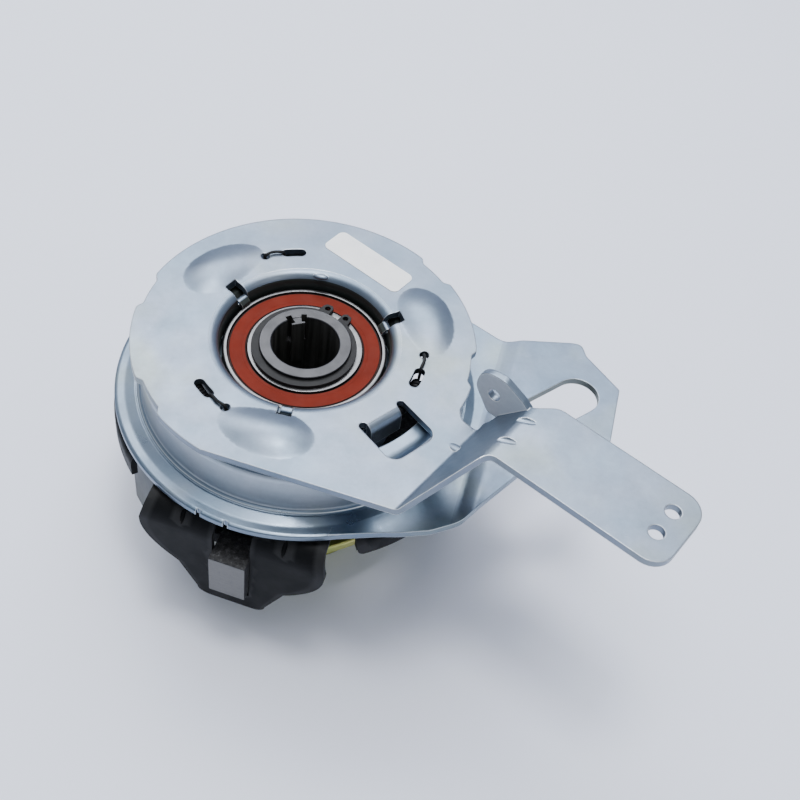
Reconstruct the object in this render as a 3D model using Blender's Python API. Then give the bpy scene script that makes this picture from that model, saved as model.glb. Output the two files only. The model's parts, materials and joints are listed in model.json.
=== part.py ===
"""A cable-operated ball-ramp clutch for a belt drive, as separate solids.

Lengths below are in millimetres and angles in degrees; the mesh helpers turn them into metres.
+Z is up along the hub's axis, +X points towards the torque arm, and z = 0 is the pulley's lower face.
Azimuths are counted counter-clockwise from +X, seen from above.
"""

import math

import bmesh
import bpy
from mathutils import Matrix, Vector

MM = 0.001
GAP = 0.3
SINK = 0.05

# Heights of the stack.
TOP = 98.0
SHEET = 3.0
BEARING_TOP = TOP - 6.0
BEARING_WIDTH = 14.0
LAND_TOP = TOP - 5.0
RIM_TOP = TOP - 25.7
BASKET_TOP = TOP - 31.0
PLATE_TOP = TOP - 50.0
PLATE_BOTTOM = TOP - 60.0
FLANGE_TOP = TOP - 67.8
FLANGE_BOTTOM = TOP - 72.0
ENGAGE_TRAVEL = 1.5
DISC_KEY_DROP = 1.9

# Hub and bearings.
BORE_R = 12.7
HUB_R = 17.4
HUB_TOP = TOP - 3.0
UPPER_BEARING_R = 31.0
LOWER_BEARING_TOP = TOP - 23.6
LOWER_BEARING_WIDTH = 15.0
LOWER_BEARING_R = 34.0

# Cam plate.
CAM_PLATE_R = 64.5
LIP_INNER_R = 32.0
LIP_OUTER_R = 34.2
SPRING_R = 44.8
SPRING_HOLES = (1.1, 121.1, 241.1)
BALL_R = 5.0
BALL_ORBIT_R = 47.5
BALL_Z = TOP - 4.0
BALL_ANGLES = (31.5, 151.5, 271.5)
BALL_TRAVEL = 10.0
BOSS_SPAN = (17.9, 29.3)
HOOK_ANGLES = (28.5, 148.5, 268.5)
LEVER_ANGLE = -31.4
LEVER_RISE = 16.0
LOWER_BEND = 73.5
UPPER_BEND = 87.0
LEVER_END = 156.0
WINDOW_ANGLE = -42.8
WINDOW_CHORD = 45.4

# Torque plate.
DRUM_R = 61.5
RIM_R = 71.8
SLEEVE_R = 37.5
ARM_STEP = 2.0
ARM_CREASE = 72.8
ARM_CREASE_ANGLE = -7.5

# Basket, legs and pulley.
TAB_ANGLES = (-100.3, 19.7, 139.7)
TAB_WIDEST = (36.0, 25.0, 25.0)
TAB_DISTANCE = 72.0
BASKET_RING_R = 68.5
BASKET_WALL_R = 72.5
BASKET_WALL_LOW = TOP - 41.5
WALL_END = -20.5
WALL_SWEEP = 43.1
LEG_ANGLES = (-141.0, -11.0, 99.0)
LEG_R = 68.0
FLANGE_R = 51.0
SHEAVE_R = 37.0
SCREW_R = 46.5
RELEASE_SPRING_ANGLES = (-60.0, 60.0, 180.0)


def clear_scene():
    for obj in list(bpy.data.objects):
        bpy.data.objects.remove(obj, do_unlink=True)


def material(name, colour, metallic, roughness):
    found = bpy.data.materials.get(name)
    if found:
        return found
    made = bpy.data.materials.new(name)
    made.use_nodes = True
    shader = made.node_tree.nodes["Principled BSDF"]
    shader.inputs["Base Color"].default_value = (*colour, 1.0)
    shader.inputs["Metallic"].default_value = metallic
    shader.inputs["Roughness"].default_value = roughness
    made.diffuse_color = (*colour, 1.0)
    return made


def new_object(name, bm, look):
    """Turns a millimetre bmesh into a named object in metres with its faces pointing out."""
    bmesh.ops.remove_doubles(bm, verts=bm.verts, dist=0.001)
    bmesh.ops.recalc_face_normals(bm, faces=bm.faces)
    if bm.calc_volume(signed=True) < 0:
        bmesh.ops.reverse_faces(bm, faces=bm.faces)
    bmesh.ops.scale(bm, verts=bm.verts, vec=Vector((MM, MM, MM)))
    mesh = bpy.data.meshes.new(name)
    bm.to_mesh(mesh)
    bm.free()
    mesh.shade_smooth()
    mesh.set_sharp_from_angle(angle=math.radians(35))
    obj = bpy.data.objects.new(name, mesh)
    bpy.context.scene.collection.objects.link(obj)
    if look:
        mesh.materials.append(material(name, *look))
    return obj


def polar(radius, degrees, z=None):
    angle = math.radians(degrees)
    x = radius * math.cos(angle)
    y = radius * math.sin(angle)
    return (x, y) if z is None else (x, y, z)


def arc(radius, start, end, steps, centre=(0.0, 0.0)):
    """Points along an arc, both ends included."""
    points = []
    for i in range(steps + 1):
        x, y = polar(radius, start + (end - start) * i / steps)
        points.append((centre[0] + x, centre[1] + y))
    return points


def prism_mesh(outline, low, high):
    bm = bmesh.new()
    face = bm.faces.new([bm.verts.new((x, y, low)) for x, y in outline])
    raised = bmesh.ops.extrude_face_region(bm, geom=[face])["geom"]
    moved = [v for v in raised if isinstance(v, bmesh.types.BMVert)]
    bmesh.ops.translate(bm, verts=moved, vec=(0, 0, high - low))
    return bm


def prism(name, outline, low, high, look=None):
    """A plan outline extruded from one height to another."""
    return new_object(name, prism_mesh(outline, low, high), look)


def section_bar(name, section, half_width, angle, look=None, across=0.0):
    """A section in (distance along the azimuth, z), extruded sideways about the azimuth's line."""
    bm = prism_mesh(section, across - half_width, across + half_width)
    # The outline's x, y and height become distance, z and minus the sideways direction.
    turn = Matrix(((1, 0, 0), (0, 0, -1), (0, 1, 0))).to_4x4()
    spin = Matrix.Rotation(math.radians(angle), 4, "Z")
    bmesh.ops.transform(bm, matrix=spin @ turn, verts=bm.verts)
    return new_object(name, bm, look)


def lathe(name, profile, steps=48, look=None):
    """A closed (radius, z) profile turned about Z."""
    bm = bmesh.new()
    verts = [bm.verts.new((r, 0, z)) for r, z in profile]
    edges = [bm.edges.new((verts[i - 1], verts[i])) for i in range(len(verts))]
    bmesh.ops.spin(
        bm, geom=verts + edges, cent=(0, 0, 0), axis=(0, 0, 1),
        angle=math.tau, steps=steps, use_merge=True, use_duplicate=False,
    )
    return new_object(name, bm, look)


def ring(name, inner, outer, low, high, steps=48, look=None):
    return lathe(name, [(inner, low), (outer, low), (outer, high), (inner, high)], steps, look)


def rod(name, radius, centre, low, high, sides=16, look=None):
    """An upright cylinder."""
    return prism(name, arc(radius, 0, 360 - 360 / sides, sides - 1, centre), low, high, look)


def loft(loops):
    """Skins a row of closed loops with equal point counts, and caps both ends."""
    bm = bmesh.new()
    rows = [[bm.verts.new(p) for p in loop] for loop in loops]
    for low, high in zip(rows, rows[1:]):
        for i in range(len(low)):
            bm.faces.new((low[i - 1], low[i], high[i], high[i - 1]))
    bm.faces.new(list(reversed(rows[0])))
    bm.faces.new(rows[-1])
    return bm


def tube_mesh(path, radii, sides):
    """A round tube along a path, with a radius at each point."""
    loops = []
    side = None
    for i, point in enumerate(path):
        ahead = path[min(i + 1, len(path) - 1)] - path[max(i - 1, 0)]
        ahead.normalize()
        if side is None:
            side = ahead.orthogonal().normalized()
        side = (side - ahead * side.dot(ahead)).normalized()
        up = ahead.cross(side)
        loop = []
        for j in range(sides):
            turn = math.tau * (j + 0.5) / sides
            loop.append(point + radii[i] * (math.cos(turn) * side + math.sin(turn) * up))
        loops.append(loop)
    return loft(loops)


def ball_track(name, radius, start, end, z_start, z_end):
    """A round-ended tube along the ball orbit, which cuts a groove for a ball."""
    path = []
    radii = []
    ends = (0.35, 0.75, 0.97)
    reach = [math.degrees(radius * math.sqrt(1 - e * e) / BALL_ORBIT_R) for e in ends]
    for share, back in zip(ends, reach):
        path.append(Vector(polar(BALL_ORBIT_R, start - back, z_start)))
        radii.append(radius * share)
    steps = 4
    for i in range(steps + 1):
        part = i / steps
        height = z_start + (z_end - z_start) * part
        path.append(Vector(polar(BALL_ORBIT_R, start + (end - start) * part, height)))
        radii.append(radius)
    for share, on in zip(reversed(ends), reversed(reach)):
        path.append(Vector(polar(BALL_ORBIT_R, end + on, z_end)))
        radii.append(radius * share)
    return new_object(name, tube_mesh(path, radii, 12), None)


def pill_loop(half_width, start, end, z, steps=5):
    """A stadium-shaped loop that follows the ball orbit."""
    points = []
    for a in (start + (end - start) * i / 3 for i in range(4)):
        points.append(polar(BALL_ORBIT_R + half_width, a, z))
    cx, cy = polar(BALL_ORBIT_R, end)
    for i in range(1, steps):
        x, y = polar(half_width, end + 180 * i / steps)
        points.append((cx + x, cy + y, z))
    for a in (end + (start - end) * i / 3 for i in range(4)):
        points.append(polar(BALL_ORBIT_R - half_width, a, z))
    cx, cy = polar(BALL_ORBIT_R, start)
    for i in range(1, steps):
        x, y = polar(half_width, start + 180 + 180 * i / steps)
        points.append((cx + x, cy + y, z))
    return points


def boss(name, start, end, base, height):
    """A long dome over a ball groove; a negative height points it down."""
    levels = ((9.0, 0.0), (8.0, 0.45), (6.6, 0.8), (4.6, 1.0))
    loops = [pill_loop(w, start, end, base + height * h) for w, h in levels]
    return new_object(name, loft(loops), None)


def modify(obj, tool, operation):
    change = obj.modifiers.new(tool.name, "BOOLEAN")
    change.operation = operation
    change.solver = "EXACT"
    change.object = tool
    tool.hide_render = True
    tool.display_type = "WIRE"


def cut(obj, tool):
    modify(obj, tool, "DIFFERENCE")


def join(obj, tool):
    modify(obj, tool, "UNION")


def oblong(radius, start, end, half_width, steps=4):
    """A slot outline bent along a circle, with round ends."""
    points = arc(radius + half_width, start, end, steps)
    points += arc(half_width, end, end + 180, 4, polar(radius, end))[1:-1]
    points += arc(radius - half_width, end, start, steps)
    points += arc(half_width, start + 180, start + 360, 4, polar(radius, start))[1:-1]
    return points


def sector(inner, outer, start, end, steps=6):
    return arc(outer, start, end, steps) + arc(inner, end, start, steps)


def lever_point(u, v):
    """A plan point given along and across the lever."""
    x, y = polar(u, LEVER_ANGLE)
    dx, dy = polar(v, LEVER_ANGLE + 90)
    return (x + dx, y + dy)


STEEL = ((0.42, 0.41, 0.40), 1.0, 0.35)
BLACK_STEEL = ((0.02, 0.02, 0.02), 0.6, 0.45)
ZINC = ((0.66, 0.69, 0.74), 0.9, 0.33)
BLACK_PAINT = ((0.015, 0.016, 0.017), 0.0, 0.5)
SEAL_ORANGE = ((0.26, 0.045, 0.02), 0.0, 0.6)
YELLOW_ZINC = ((0.45, 0.46, 0.12), 0.8, 0.35)
LINING = ((0.07, 0.06, 0.05), 0.0, 0.9)
CAST = ((0.12, 0.115, 0.11), 0.7, 0.6)
PAPER = ((0.85, 0.85, 0.84), 0.0, 0.5)


def build_hub():
    chamfer = 0.8
    groove = 1.0
    profile = [
        (BORE_R, chamfer), (BORE_R + chamfer, 0.0), (HUB_R - 0.4, 0.0), (HUB_R, 0.4), (HUB_R, 0.9),
        (HUB_R - groove, 0.9), (HUB_R - groove, 2.7), (HUB_R, 2.7),
        (HUB_R, TOP - 6.0), (HUB_R - groove, TOP - 6.0), (HUB_R - groove, TOP - 4.1), (HUB_R, TOP - 4.1),
        (HUB_R, HUB_TOP - chamfer), (HUB_R - chamfer, HUB_TOP), (BORE_R + chamfer, HUB_TOP),
        (BORE_R, HUB_TOP - chamfer),
    ]
    hub = lathe("hub", profile, 36, STEEL)
    key_angle = 115.0
    key_low = HUB_TOP - 22.0
    key = section_bar("hub_key", [(10.0, key_low), (14.5, key_low), (14.5, HUB_TOP - 1.0),
                                  (10.0, HUB_TOP - 1.0)], 2.6, key_angle)
    join(hub, key)
    for i, angle in enumerate((127.0, 102.0)):
        notch = section_bar(f"hub_notch_{i}", [(11.0, HUB_TOP - 12.0), (14.5, HUB_TOP - 12.0),
                                               (14.5, HUB_TOP + 1.0), (11.0, HUB_TOP + 1.0)], 1.0, angle)
        cut(hub, notch)
    key_low, key_high = PLATE_BOTTOM - 7.0, PLATE_BOTTOM - DISC_KEY_DROP
    seat_section = [
        (HUB_R - 2.5, key_low - GAP), (HUB_R + 4.0, key_low - GAP),
        (HUB_R + 4.0, key_high + GAP), (HUB_R - 2.5, key_high + GAP),
    ]
    cut(hub, section_bar("disc_key_seat", seat_section, 3.3, 0.0))
    key_section = [
        (HUB_R - 2.2, key_low), (HUB_R + 2.6, key_low), (HUB_R + 2.6, key_high), (HUB_R - 2.2, key_high),
    ]
    section_bar("disc_key", key_section, 3.0, 0.0, STEEL)


def build_circlip(name, low, high, gap_angle):
    """A spring ring in the hub's groove with two lugs beside its opening."""
    inner = HUB_R - 0.6
    points = []
    lug_out = 23.2
    points += arc(lug_out, gap_angle + 7, gap_angle + 17, 2)
    for i in range(25):
        angle = gap_angle + 21 + (318) * i / 24
        points.append(polar(19.9 - 0.6 * math.cos(math.radians(angle - gap_angle)), angle))
    points += arc(lug_out, gap_angle - 17, gap_angle - 7, 2)
    points += arc(inner, gap_angle + 353, gap_angle + 7, 28)
    prism(name, points, low, high, BLACK_STEEL)


def pearl_ring(name, orbit, ball_radius, cage_radius, z, count, look):
    """Balls in their cage, as one ring that swells at each ball."""
    steps = count * 4
    swell = (ball_radius, 0.72 * ball_radius, cage_radius, 0.72 * ball_radius)
    sides = 5
    bm = bmesh.new()
    rows = []
    for i in range(steps):
        size = swell[i % 4]
        row = []
        for j in range(sides):
            turn = math.tau * (j + 0.5) / sides
            r = orbit + size * math.cos(turn)
            row.append(bm.verts.new(polar(r, 360 * i / steps, z + size * math.sin(turn))))
        rows.append(row)
    for i in range(steps):
        for j in range(sides):
            bm.faces.new((rows[i - 1][j - 1], rows[i - 1][j], rows[i][j], rows[i][j - 1]))
    new_object(name, bm, look)


def build_bearing(name, inner, inner_top, outer_bottom, outer, top, width, steps, balls):
    """Two rings and a ball set; inner_top and outer_bottom are the raceway radii."""
    low = top - width
    ring(name + "_outer_ring", outer_bottom, outer, low, top, steps, STEEL)
    ring(name + "_inner_ring", inner, inner_top, low, top, steps, STEEL)
    room = (outer_bottom - inner_top) / 2 - 0.3
    orbit = (outer_bottom + inner_top) / 2
    pearl_ring(name + "_balls", orbit, min(room, width / 2 - 2.6), 0.8, low + width / 2, balls, STEEL)


def build_bearings():
    build_bearing("upper_bearing", HUB_R + GAP, 21.7, 29.2, UPPER_BEARING_R,
                  BEARING_TOP, BEARING_WIDTH, 44, 9)
    seal_top = BEARING_TOP - 0.5
    ring("upper_bearing_top_seal", 22.0, 28.9, seal_top - 1.0, seal_top, 44, SEAL_ORANGE)
    seal_low = BEARING_TOP - BEARING_WIDTH + 0.5
    ring("upper_bearing_bottom_seal", 22.0, 28.9, seal_low, seal_low + 1.0, 36, SEAL_ORANGE)
    build_bearing("lower_bearing", 20.0, 24.2, 30.0, LOWER_BEARING_R,
                  LOWER_BEARING_TOP, LOWER_BEARING_WIDTH, 36, 9)
    for name, top in (("pulley_bearing_upper", 24.0), ("pulley_bearing_lower", 10.6)):
        build_bearing(name, HUB_R + GAP, 19.3, 21.9, 23.5, top, 7.0, 28, 9)


def plate_outline():
    """The cam plate's plan, with its shallow scallops and the lever's plan."""
    points = []
    scallops = (-1.5, 46.0, 171.0, 218.5)
    steps = 72
    first, last = -20.2, 246.0
    for i in range(steps + 1):
        angle = first + (last - first) * i / steps
        radius = CAM_PLATE_R
        for centre in scallops:
            off = abs(angle - centre)
            if off < 8.5:
                radius -= 1.9 * min(1.0, (8.5 - off) / 2.5)
        points.append(polar(radius, angle))
    points.append(lever_point(74.5, -37.2))
    points.append(lever_point(88.0, -8.5))
    points.append(lever_point(90.0, -7.0))
    for u, v in arc(8.0, -90, 0, 4, (LEVER_END - 8.0, 1.0)):
        points.append(lever_point(u, v))
    for u, v in arc(8.5, 0, 90, 4, (LEVER_END - 8.5, 17.0)):
        points.append(lever_point(u, v))
    for u, v in ((96.0, 25.5), (90.5, 24.0), (87.5, 20.0), (84.0, 19.0), (76.5, 19.0), (75.3, 16.0)):
        points.append(lever_point(u, v))
    for u, v in ((73.8, 14.5), (73.6, 11.0), (74.5, 9.0), (68.5, 8.8)):
        points.append(lever_point(u, v))
    points.append((63.6, -28.4))
    points.append((61.8, -26.0))
    return points


def bent_section(bend_low, bend_high, rise, start, end, top):
    """The (distance, z) section of a sheet with one joggle up."""
    slope = math.atan2(rise, bend_high - bend_low)
    shift = SHEET * math.tan(slope / 2)
    low = top - SHEET
    return [
        (start, low), (bend_low + shift, low), (bend_high + shift, low + rise), (end, low + rise),
        (end, top + rise), (bend_high, top + rise), (bend_low, top), (start, top),
    ]


def build_cam_plate():
    plate = prism("upper_cam_plate", plate_outline(), TOP - 20, TOP + 40, ZINC)
    section = bent_section(LOWER_BEND, UPPER_BEND, LEVER_RISE, -90.0, 170.0, TOP)
    sheet = section_bar("cam_plate_sheet", section, 110.0, LEVER_ANGLE)
    modify(plate, sheet, "INTERSECT")

    cut(plate, rod("cam_plate_bore", 35.6, (0, 0), TOP - 10, TOP + 10, 48))
    lip = [
        (LIP_INNER_R, TOP - 9), (LIP_OUTER_R, TOP - 9), (LIP_OUTER_R, TOP - 4.4), (35.2, TOP - 3.1),
        (37.0, TOP - SHEET + SINK), (37.0, TOP - SINK), (35.3, TOP - SINK), (33.2, TOP - 1.0),
        (LIP_INNER_R, TOP - 3.2),
    ]
    join(plate, lathe("bearing_lip", lip, 48))

    for i, angle in enumerate(BALL_ANGLES):
        turn = angle - BALL_ANGLES[0]
        dome = boss(f"cam_boss_{i}", BOSS_SPAN[0] + turn, BOSS_SPAN[1] + turn, TOP - 1.0, 5.0)
        join(plate, dome)
    for i, angle in enumerate(BALL_ANGLES):
        first, last = angle - BALL_TRAVEL - 0.5, angle + 0.5
        track = ball_track(f"cam_groove_{i}", BALL_R + 0.5, first, last, BALL_Z, BALL_Z)
        cut(plate, track)

    ear = [
        (75.2, TOP - 0.4), (71.3, TOP + 1), (67.8, TOP + 5), (65.2, TOP + 9), (64.8, TOP + 15.9),
        (66.4, TOP + 18.6), (69.5, TOP + 20.8), (73, TOP + 21), (77.6, TOP + 19.4), (82.3, TOP + 17.9),
        (86.4, TOP + 14.6), (86.8, TOP + 13.8),
    ]
    flange = section_bar("lever_ear", ear, 1.5, LEVER_ANGLE, across=-19.2)
    join(plate, flange)
    ear_circle = arc(2.65, 0, 330, 11, (72.5, TOP + 11.5))
    ear_hole = section_bar("ear_hole", ear_circle, 4.0, LEVER_ANGLE, across=-19.2)
    cut(plate, ear_hole)
    for i, v in enumerate((4.7, 15.5)):
        cut(plate, rod(f"cable_hole_{i}", 2.9, lever_point(147.0, v), TOP + 5, TOP + 25, 16))

    for i, angle in enumerate(SPRING_HOLES):
        cut(plate, rod(f"spring_hole_{i}", 1.6, polar(SPRING_R, angle), TOP - 10, TOP + 5, 10))
        slot = prism(f"spring_slot_{i}", oblong(SPRING_R, angle - 19.0, angle - 10.2, 1.6), TOP - 10, TOP + 5)
        cut(plate, slot)
    for i, angle in enumerate(HOOK_ANGLES):
        notch = section_bar(f"hook_notch_{i}", [(30, TOP - 12), (38.6, TOP - 12), (38.6, TOP + 1.2),
                                                (30, TOP + 1.2)], 2.75, angle)
        cut(plate, notch)
        hook = [
            (40.5, TOP - 0.5), (36.2, TOP - 0.5), (31.6, TOP - 3.0), (30.0, TOP - 5.6), (31.6, TOP - 5.6),
            (33.6, TOP - 4.4), (37.0, TOP - 2.6), (40.5, TOP - 2.6),
        ]
        join(plate, section_bar(f"bearing_hook_{i}", hook, 1.4, angle))

    window = [(WINDOW_CHORD, -10.3)] + arc(4.5, -90, 0, 3, (59.6, -5.8)) + arc(4.5, 0, 90, 3, (59.6, 5.8))
    window += [(WINDOW_CHORD, 10.3)]
    turned = []
    for distance, side in window:
        x, y = polar(distance, WINDOW_ANGLE)
        dx, dy = polar(side, WINDOW_ANGLE + 90)
        turned.append((x + dx, y + dy))
    cut(plate, prism("stop_window", turned, TOP - 10, TOP + 5))
    tab = [
        (43.0, TOP - SINK), (45.4, TOP - SINK), (47.3, TOP - 0.8), (48.3, TOP - 2.4), (48.4, TOP - 4),
        (48.4, TOP - 10), (45.6, TOP - 10), (45.6, TOP - 4), (45.0, TOP - SHEET + SINK),
        (43.0, TOP - SHEET + SINK),
    ]
    join(plate, section_bar("stop_tab", tab, 7.0, WINDOW_ANGLE))


def build_label():
    half_length, half_width, corner = 18.75, 6.15, 2.5
    outline = []
    for sx, sy, start in ((1, 1, 0), (-1, 1, 90), (-1, -1, 180), (1, -1, 270)):
        centre = (sx * (half_length - corner), sy * (half_width - corner))
        outline += arc(corner, start, start + 90, 3, centre)
    label = prism("blank_label", outline, -0.1, 0.1, PAPER)
    label.rotation_euler = (0, 0, math.radians(-31.8))
    label.location = (17.0 * MM, 45.0 * MM, (TOP + 0.3) * MM)


def build_cam_balls():
    for i, angle in enumerate(BALL_ANGLES):
        bm = bmesh.new()
        bmesh.ops.create_uvsphere(bm, u_segments=12, v_segments=8, radius=BALL_R)
        bmesh.ops.translate(bm, verts=bm.verts, vec=polar(BALL_ORBIT_R, angle, BALL_Z))
        new_object(f"cam_ball_{i + 1}", bm, STEEL)


def build_return_springs():
    wire = 0.55
    coil = 1.85
    for i, hole in enumerate(SPRING_HOLES):
        path = [
            Vector(polar(SPRING_R, hole + 0.2, TOP - 4.3)),
            Vector(polar(SPRING_R, hole + 0.2, TOP - 1.0)),
            Vector(polar(SPRING_R, hole - 0.8, TOP + 0.8)),
            Vector(polar(SPRING_R, hole - 4.5, TOP + 1.0)),
            Vector(polar(SPRING_R, hole - 8.9, TOP + 0.8)),
            Vector(polar(SPRING_R, hole - 9.9, TOP - 1.0)),
            Vector(polar(SPRING_R, hole - 10.1, TOP - 3.4)),
        ]
        start, end = hole - 11.5, hole - 32.0
        turns, per_turn = 6, 8
        axis_z = TOP - 6.1
        for k in range(turns * per_turn + 1):
            part = k / (turns * per_turn)
            turn = math.tau * k / per_turn + math.pi / 2
            radius = SPRING_R + coil * math.cos(turn)
            path.append(Vector(polar(radius, start + (end - start) * part, axis_z + coil * math.sin(turn))))
        path.append(Vector(polar(42.5, end - 2.5, TOP - 4.0)))
        path.append(Vector(polar(39.7, end - 4.5, TOP - 4.0)))
        path.append(Vector(polar(39.2, end - 6.5, TOP - 4.0)))
        new_object(f"return_spring_{i + 1}", tube_mesh(path, [wire] * len(path), 4), BLACK_STEEL)


def build_torque_plate():
    profile = [
        (34.3, TOP - 39), (34.3, TOP - 23.3), (31.4, TOP - 23.3), (31.4, TOP - 17), (34.5, TOP - 17),
        (34.5, TOP - 7.2), (38, LAND_TOP), (57.4, LAND_TOP), (60.3, LAND_TOP - 1.6),
        (DRUM_R, LAND_TOP - 5), (DRUM_R, RIM_TOP + 2.0), (64.0, RIM_TOP - SINK),
        (66.5, RIM_TOP - SINK), (66.5, RIM_TOP - SHEET + SINK), (61.6, RIM_TOP - SHEET + SINK),
        (DRUM_R - SHEET, RIM_TOP + 1.0), (DRUM_R - SHEET, LAND_TOP - 5), (56.5, LAND_TOP - SHEET),
        (SLEEVE_R, LAND_TOP - SHEET), (SLEEVE_R, TOP - 39),
    ]
    drum = lathe("torque_drum", profile, 48)

    outline = arc(RIM_R, 60, 286, 40)
    outline += [(39.5, -63.3), (46.6, -61.9), (57.1, -58.9), (64.0, -55.8), (68.1, -52.8)]
    outline += [(87.4, -27.9), (98.5, -14.0), (120.3, -14.0), (121.6, -3.3), (124.5, 21.0)]
    outline += [(110.6, 36.3), (108.7, 40.9), (104.9, 42.3), (76.8, 38.1)]
    plate = prism("torque_plate", outline, RIM_TOP - 15, RIM_TOP + 15, ZINC)
    section = bent_section(ARM_CREASE, ARM_CREASE + 3.5, ARM_STEP, -90.0, 150.0, RIM_TOP)
    modify(plate, section_bar("torque_plate_sheet", section, 110.0, ARM_CREASE_ANGLE), "INTERSECT")
    cut(plate, rod("rim_bore", 64.6, (0, 0), RIM_TOP - 10, RIM_TOP + 10, 48))
    join(plate, drum)

    far, near = (107.5, 14.5), (94.5, 2.4)
    slot_angle = math.degrees(math.atan2(far[1] - near[1], far[0] - near[0]))
    slot = arc(8.7, slot_angle - 90, slot_angle + 90, 6, far)
    slot += arc(8.7, slot_angle + 90, slot_angle + 270, 6, near)
    cut(plate, prism("torque_slot", slot, RIM_TOP - 10, RIM_TOP + 10))

    for i, angle in enumerate(BALL_ANGLES):
        turn = angle - BALL_ANGLES[0]
        dome = boss(f"torque_boss_{i}", 30.0 + turn, 43.0 + turn, LAND_TOP - SHEET + 1.0, -5.5)
        join(plate, dome)
    for i, angle in enumerate(BALL_ANGLES):
        end = angle + BALL_TRAVEL
        track = ball_track(f"torque_groove_{i}", BALL_R + 0.5, angle, end, BALL_Z, BALL_Z + ENGAGE_TRAVEL)
        cut(plate, track)
    for i, hole in enumerate(SPRING_HOLES):
        room = sector(41.6, 48.4, hole - 35.5, hole + 11.0)
        opening = prism(f"spring_opening_{i}", room, LAND_TOP - 8, LAND_TOP + 4)
        cut(plate, opening)
        anchor = rod(f"spring_anchor_hole_{i}", 1.1, polar(39.8, hole - 36.8), LAND_TOP - 8, LAND_TOP + 4, 8)
        cut(plate, anchor)
    stop = sector(44.6, 53.8, -55.0, -10.0, 8)
    cut(plate, prism("stop_opening", stop, LAND_TOP - 8, LAND_TOP + 4))


def build_pressure_plate():
    profile = [
        (HUB_R + 0.4, PLATE_BOTTOM), (50.0, PLATE_BOTTOM), (50.0, PLATE_TOP), (26.0, PLATE_TOP),
        (26.0, TOP - 38.9), (19.7, TOP - 38.9), (19.7, TOP - 24.2), (HUB_R + 0.4, TOP - 24.2),
    ]
    plate = lathe("pressure_plate", profile, 36, CAST)
    root = [
        (45.0, PLATE_BOTTOM + 1.3), (61.5, PLATE_BOTTOM + 1.3),
        (61.5, PLATE_TOP - 1.3), (45.0, PLATE_TOP - 1.3),
    ]
    section = [
        (45.0, PLATE_BOTTOM + 1), (60.0, PLATE_BOTTOM + 1), (60.0, TOP - 67.6), (76.0, TOP - 67.6),
        (76.0, TOP - 45.8), (62.0, TOP - 45.8), (60.0, PLATE_TOP - 1), (45.0, PLATE_TOP - 1),
    ]
    for i, angle in enumerate(TAB_ANGLES):
        join(plate, section_bar(f"lug_root_{i}", root, 15.0, angle))
        join(plate, section_bar(f"drive_lug_{i}", section, 7.1, angle))


def tab_mesh(rows, angle):
    """A bent sheet tab: each row is (distance, z, half-width), on the sheet's outer face."""
    thickness = 2.5
    inner = []
    for i, (distance, z, half) in enumerate(rows):
        before = rows[max(i - 1, 0)]
        after = rows[min(i + 1, len(rows) - 1)]
        along = Vector((after[0] - before[0], after[1] - before[1])).normalized()
        inward = Vector((along.y, -along.x))
        inner.append((distance + thickness * inward.x, z + thickness * inward.y, half))
    loops = []
    for out, back in zip(rows, inner):
        loops.append([(out[0], out[2], out[1]), (out[0], -out[2], out[1]),
                      (back[0], -back[2], back[1]), (back[0], back[2], back[1])])
    bm = loft(loops)
    bmesh.ops.transform(bm, matrix=Matrix.Rotation(math.radians(angle), 4, "Z"), verts=bm.verts)
    return bm


def build_basket():
    """A cup cut back to three short wall pieces, with three flat tabs bent down between them."""
    wall = BASKET_WALL_R
    floor = BASKET_TOP - 2.5
    cup = [
        (58.6, floor), (wall - 4.5, floor), (wall - 2.9, floor - 1.6), (wall - 2.5, BASKET_WALL_LOW),
        (wall, BASKET_WALL_LOW), (wall, BASKET_TOP - 3.5), (wall - 1.1, BASKET_TOP - 1.1),
        (wall - 3.5, BASKET_TOP), (58.6, BASKET_TOP),
    ]
    basket = lathe("basket", cup, 72, BLACK_PAINT)
    for i in range(3):
        start = WALL_END + 120.0 * i
        gap = sector(BASKET_RING_R, wall + 4.0, start, start + 120.0 - WALL_SWEEP)
        cut(basket, prism(f"basket_gap_{i}", gap, BASKET_TOP - 15.0, BASKET_TOP + 2.0))
    face = TAB_DISTANCE
    top = BASKET_TOP - SINK
    bend = 9.0
    rows = [(59.2, top, 33.6), (face - bend, top, 34.0)]
    for distance, z in arc(bend, 67.5, 0, 3, (face - bend, top - bend)):
        rows.append((distance, z, 36.0 - 2.0 * (z - top + bend) / bend))
    rows += [(face, TOP - 61.6, 21.0), (face, TOP - 76.5, 13.4)]
    rows += [(face, TOP - 78.4, 11.2), (face, TOP - 79.0, 8.5)]
    for i, (angle, widest) in enumerate(zip(TAB_ANGLES, TAB_WIDEST)):
        limited = [(distance, z, min(half, widest)) for distance, z, half in rows]
        join(basket, new_object(f"tab_{i}", tab_mesh(limited, angle), None))
        opening = [(67.0, TOP - 70.6), (80.0, TOP - 70.6), (80.0, TOP - 30.0), (67.0, TOP - 30.0)]
        cut(basket, section_bar(f"tab_window_{i}", opening, 7.8, angle))


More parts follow.
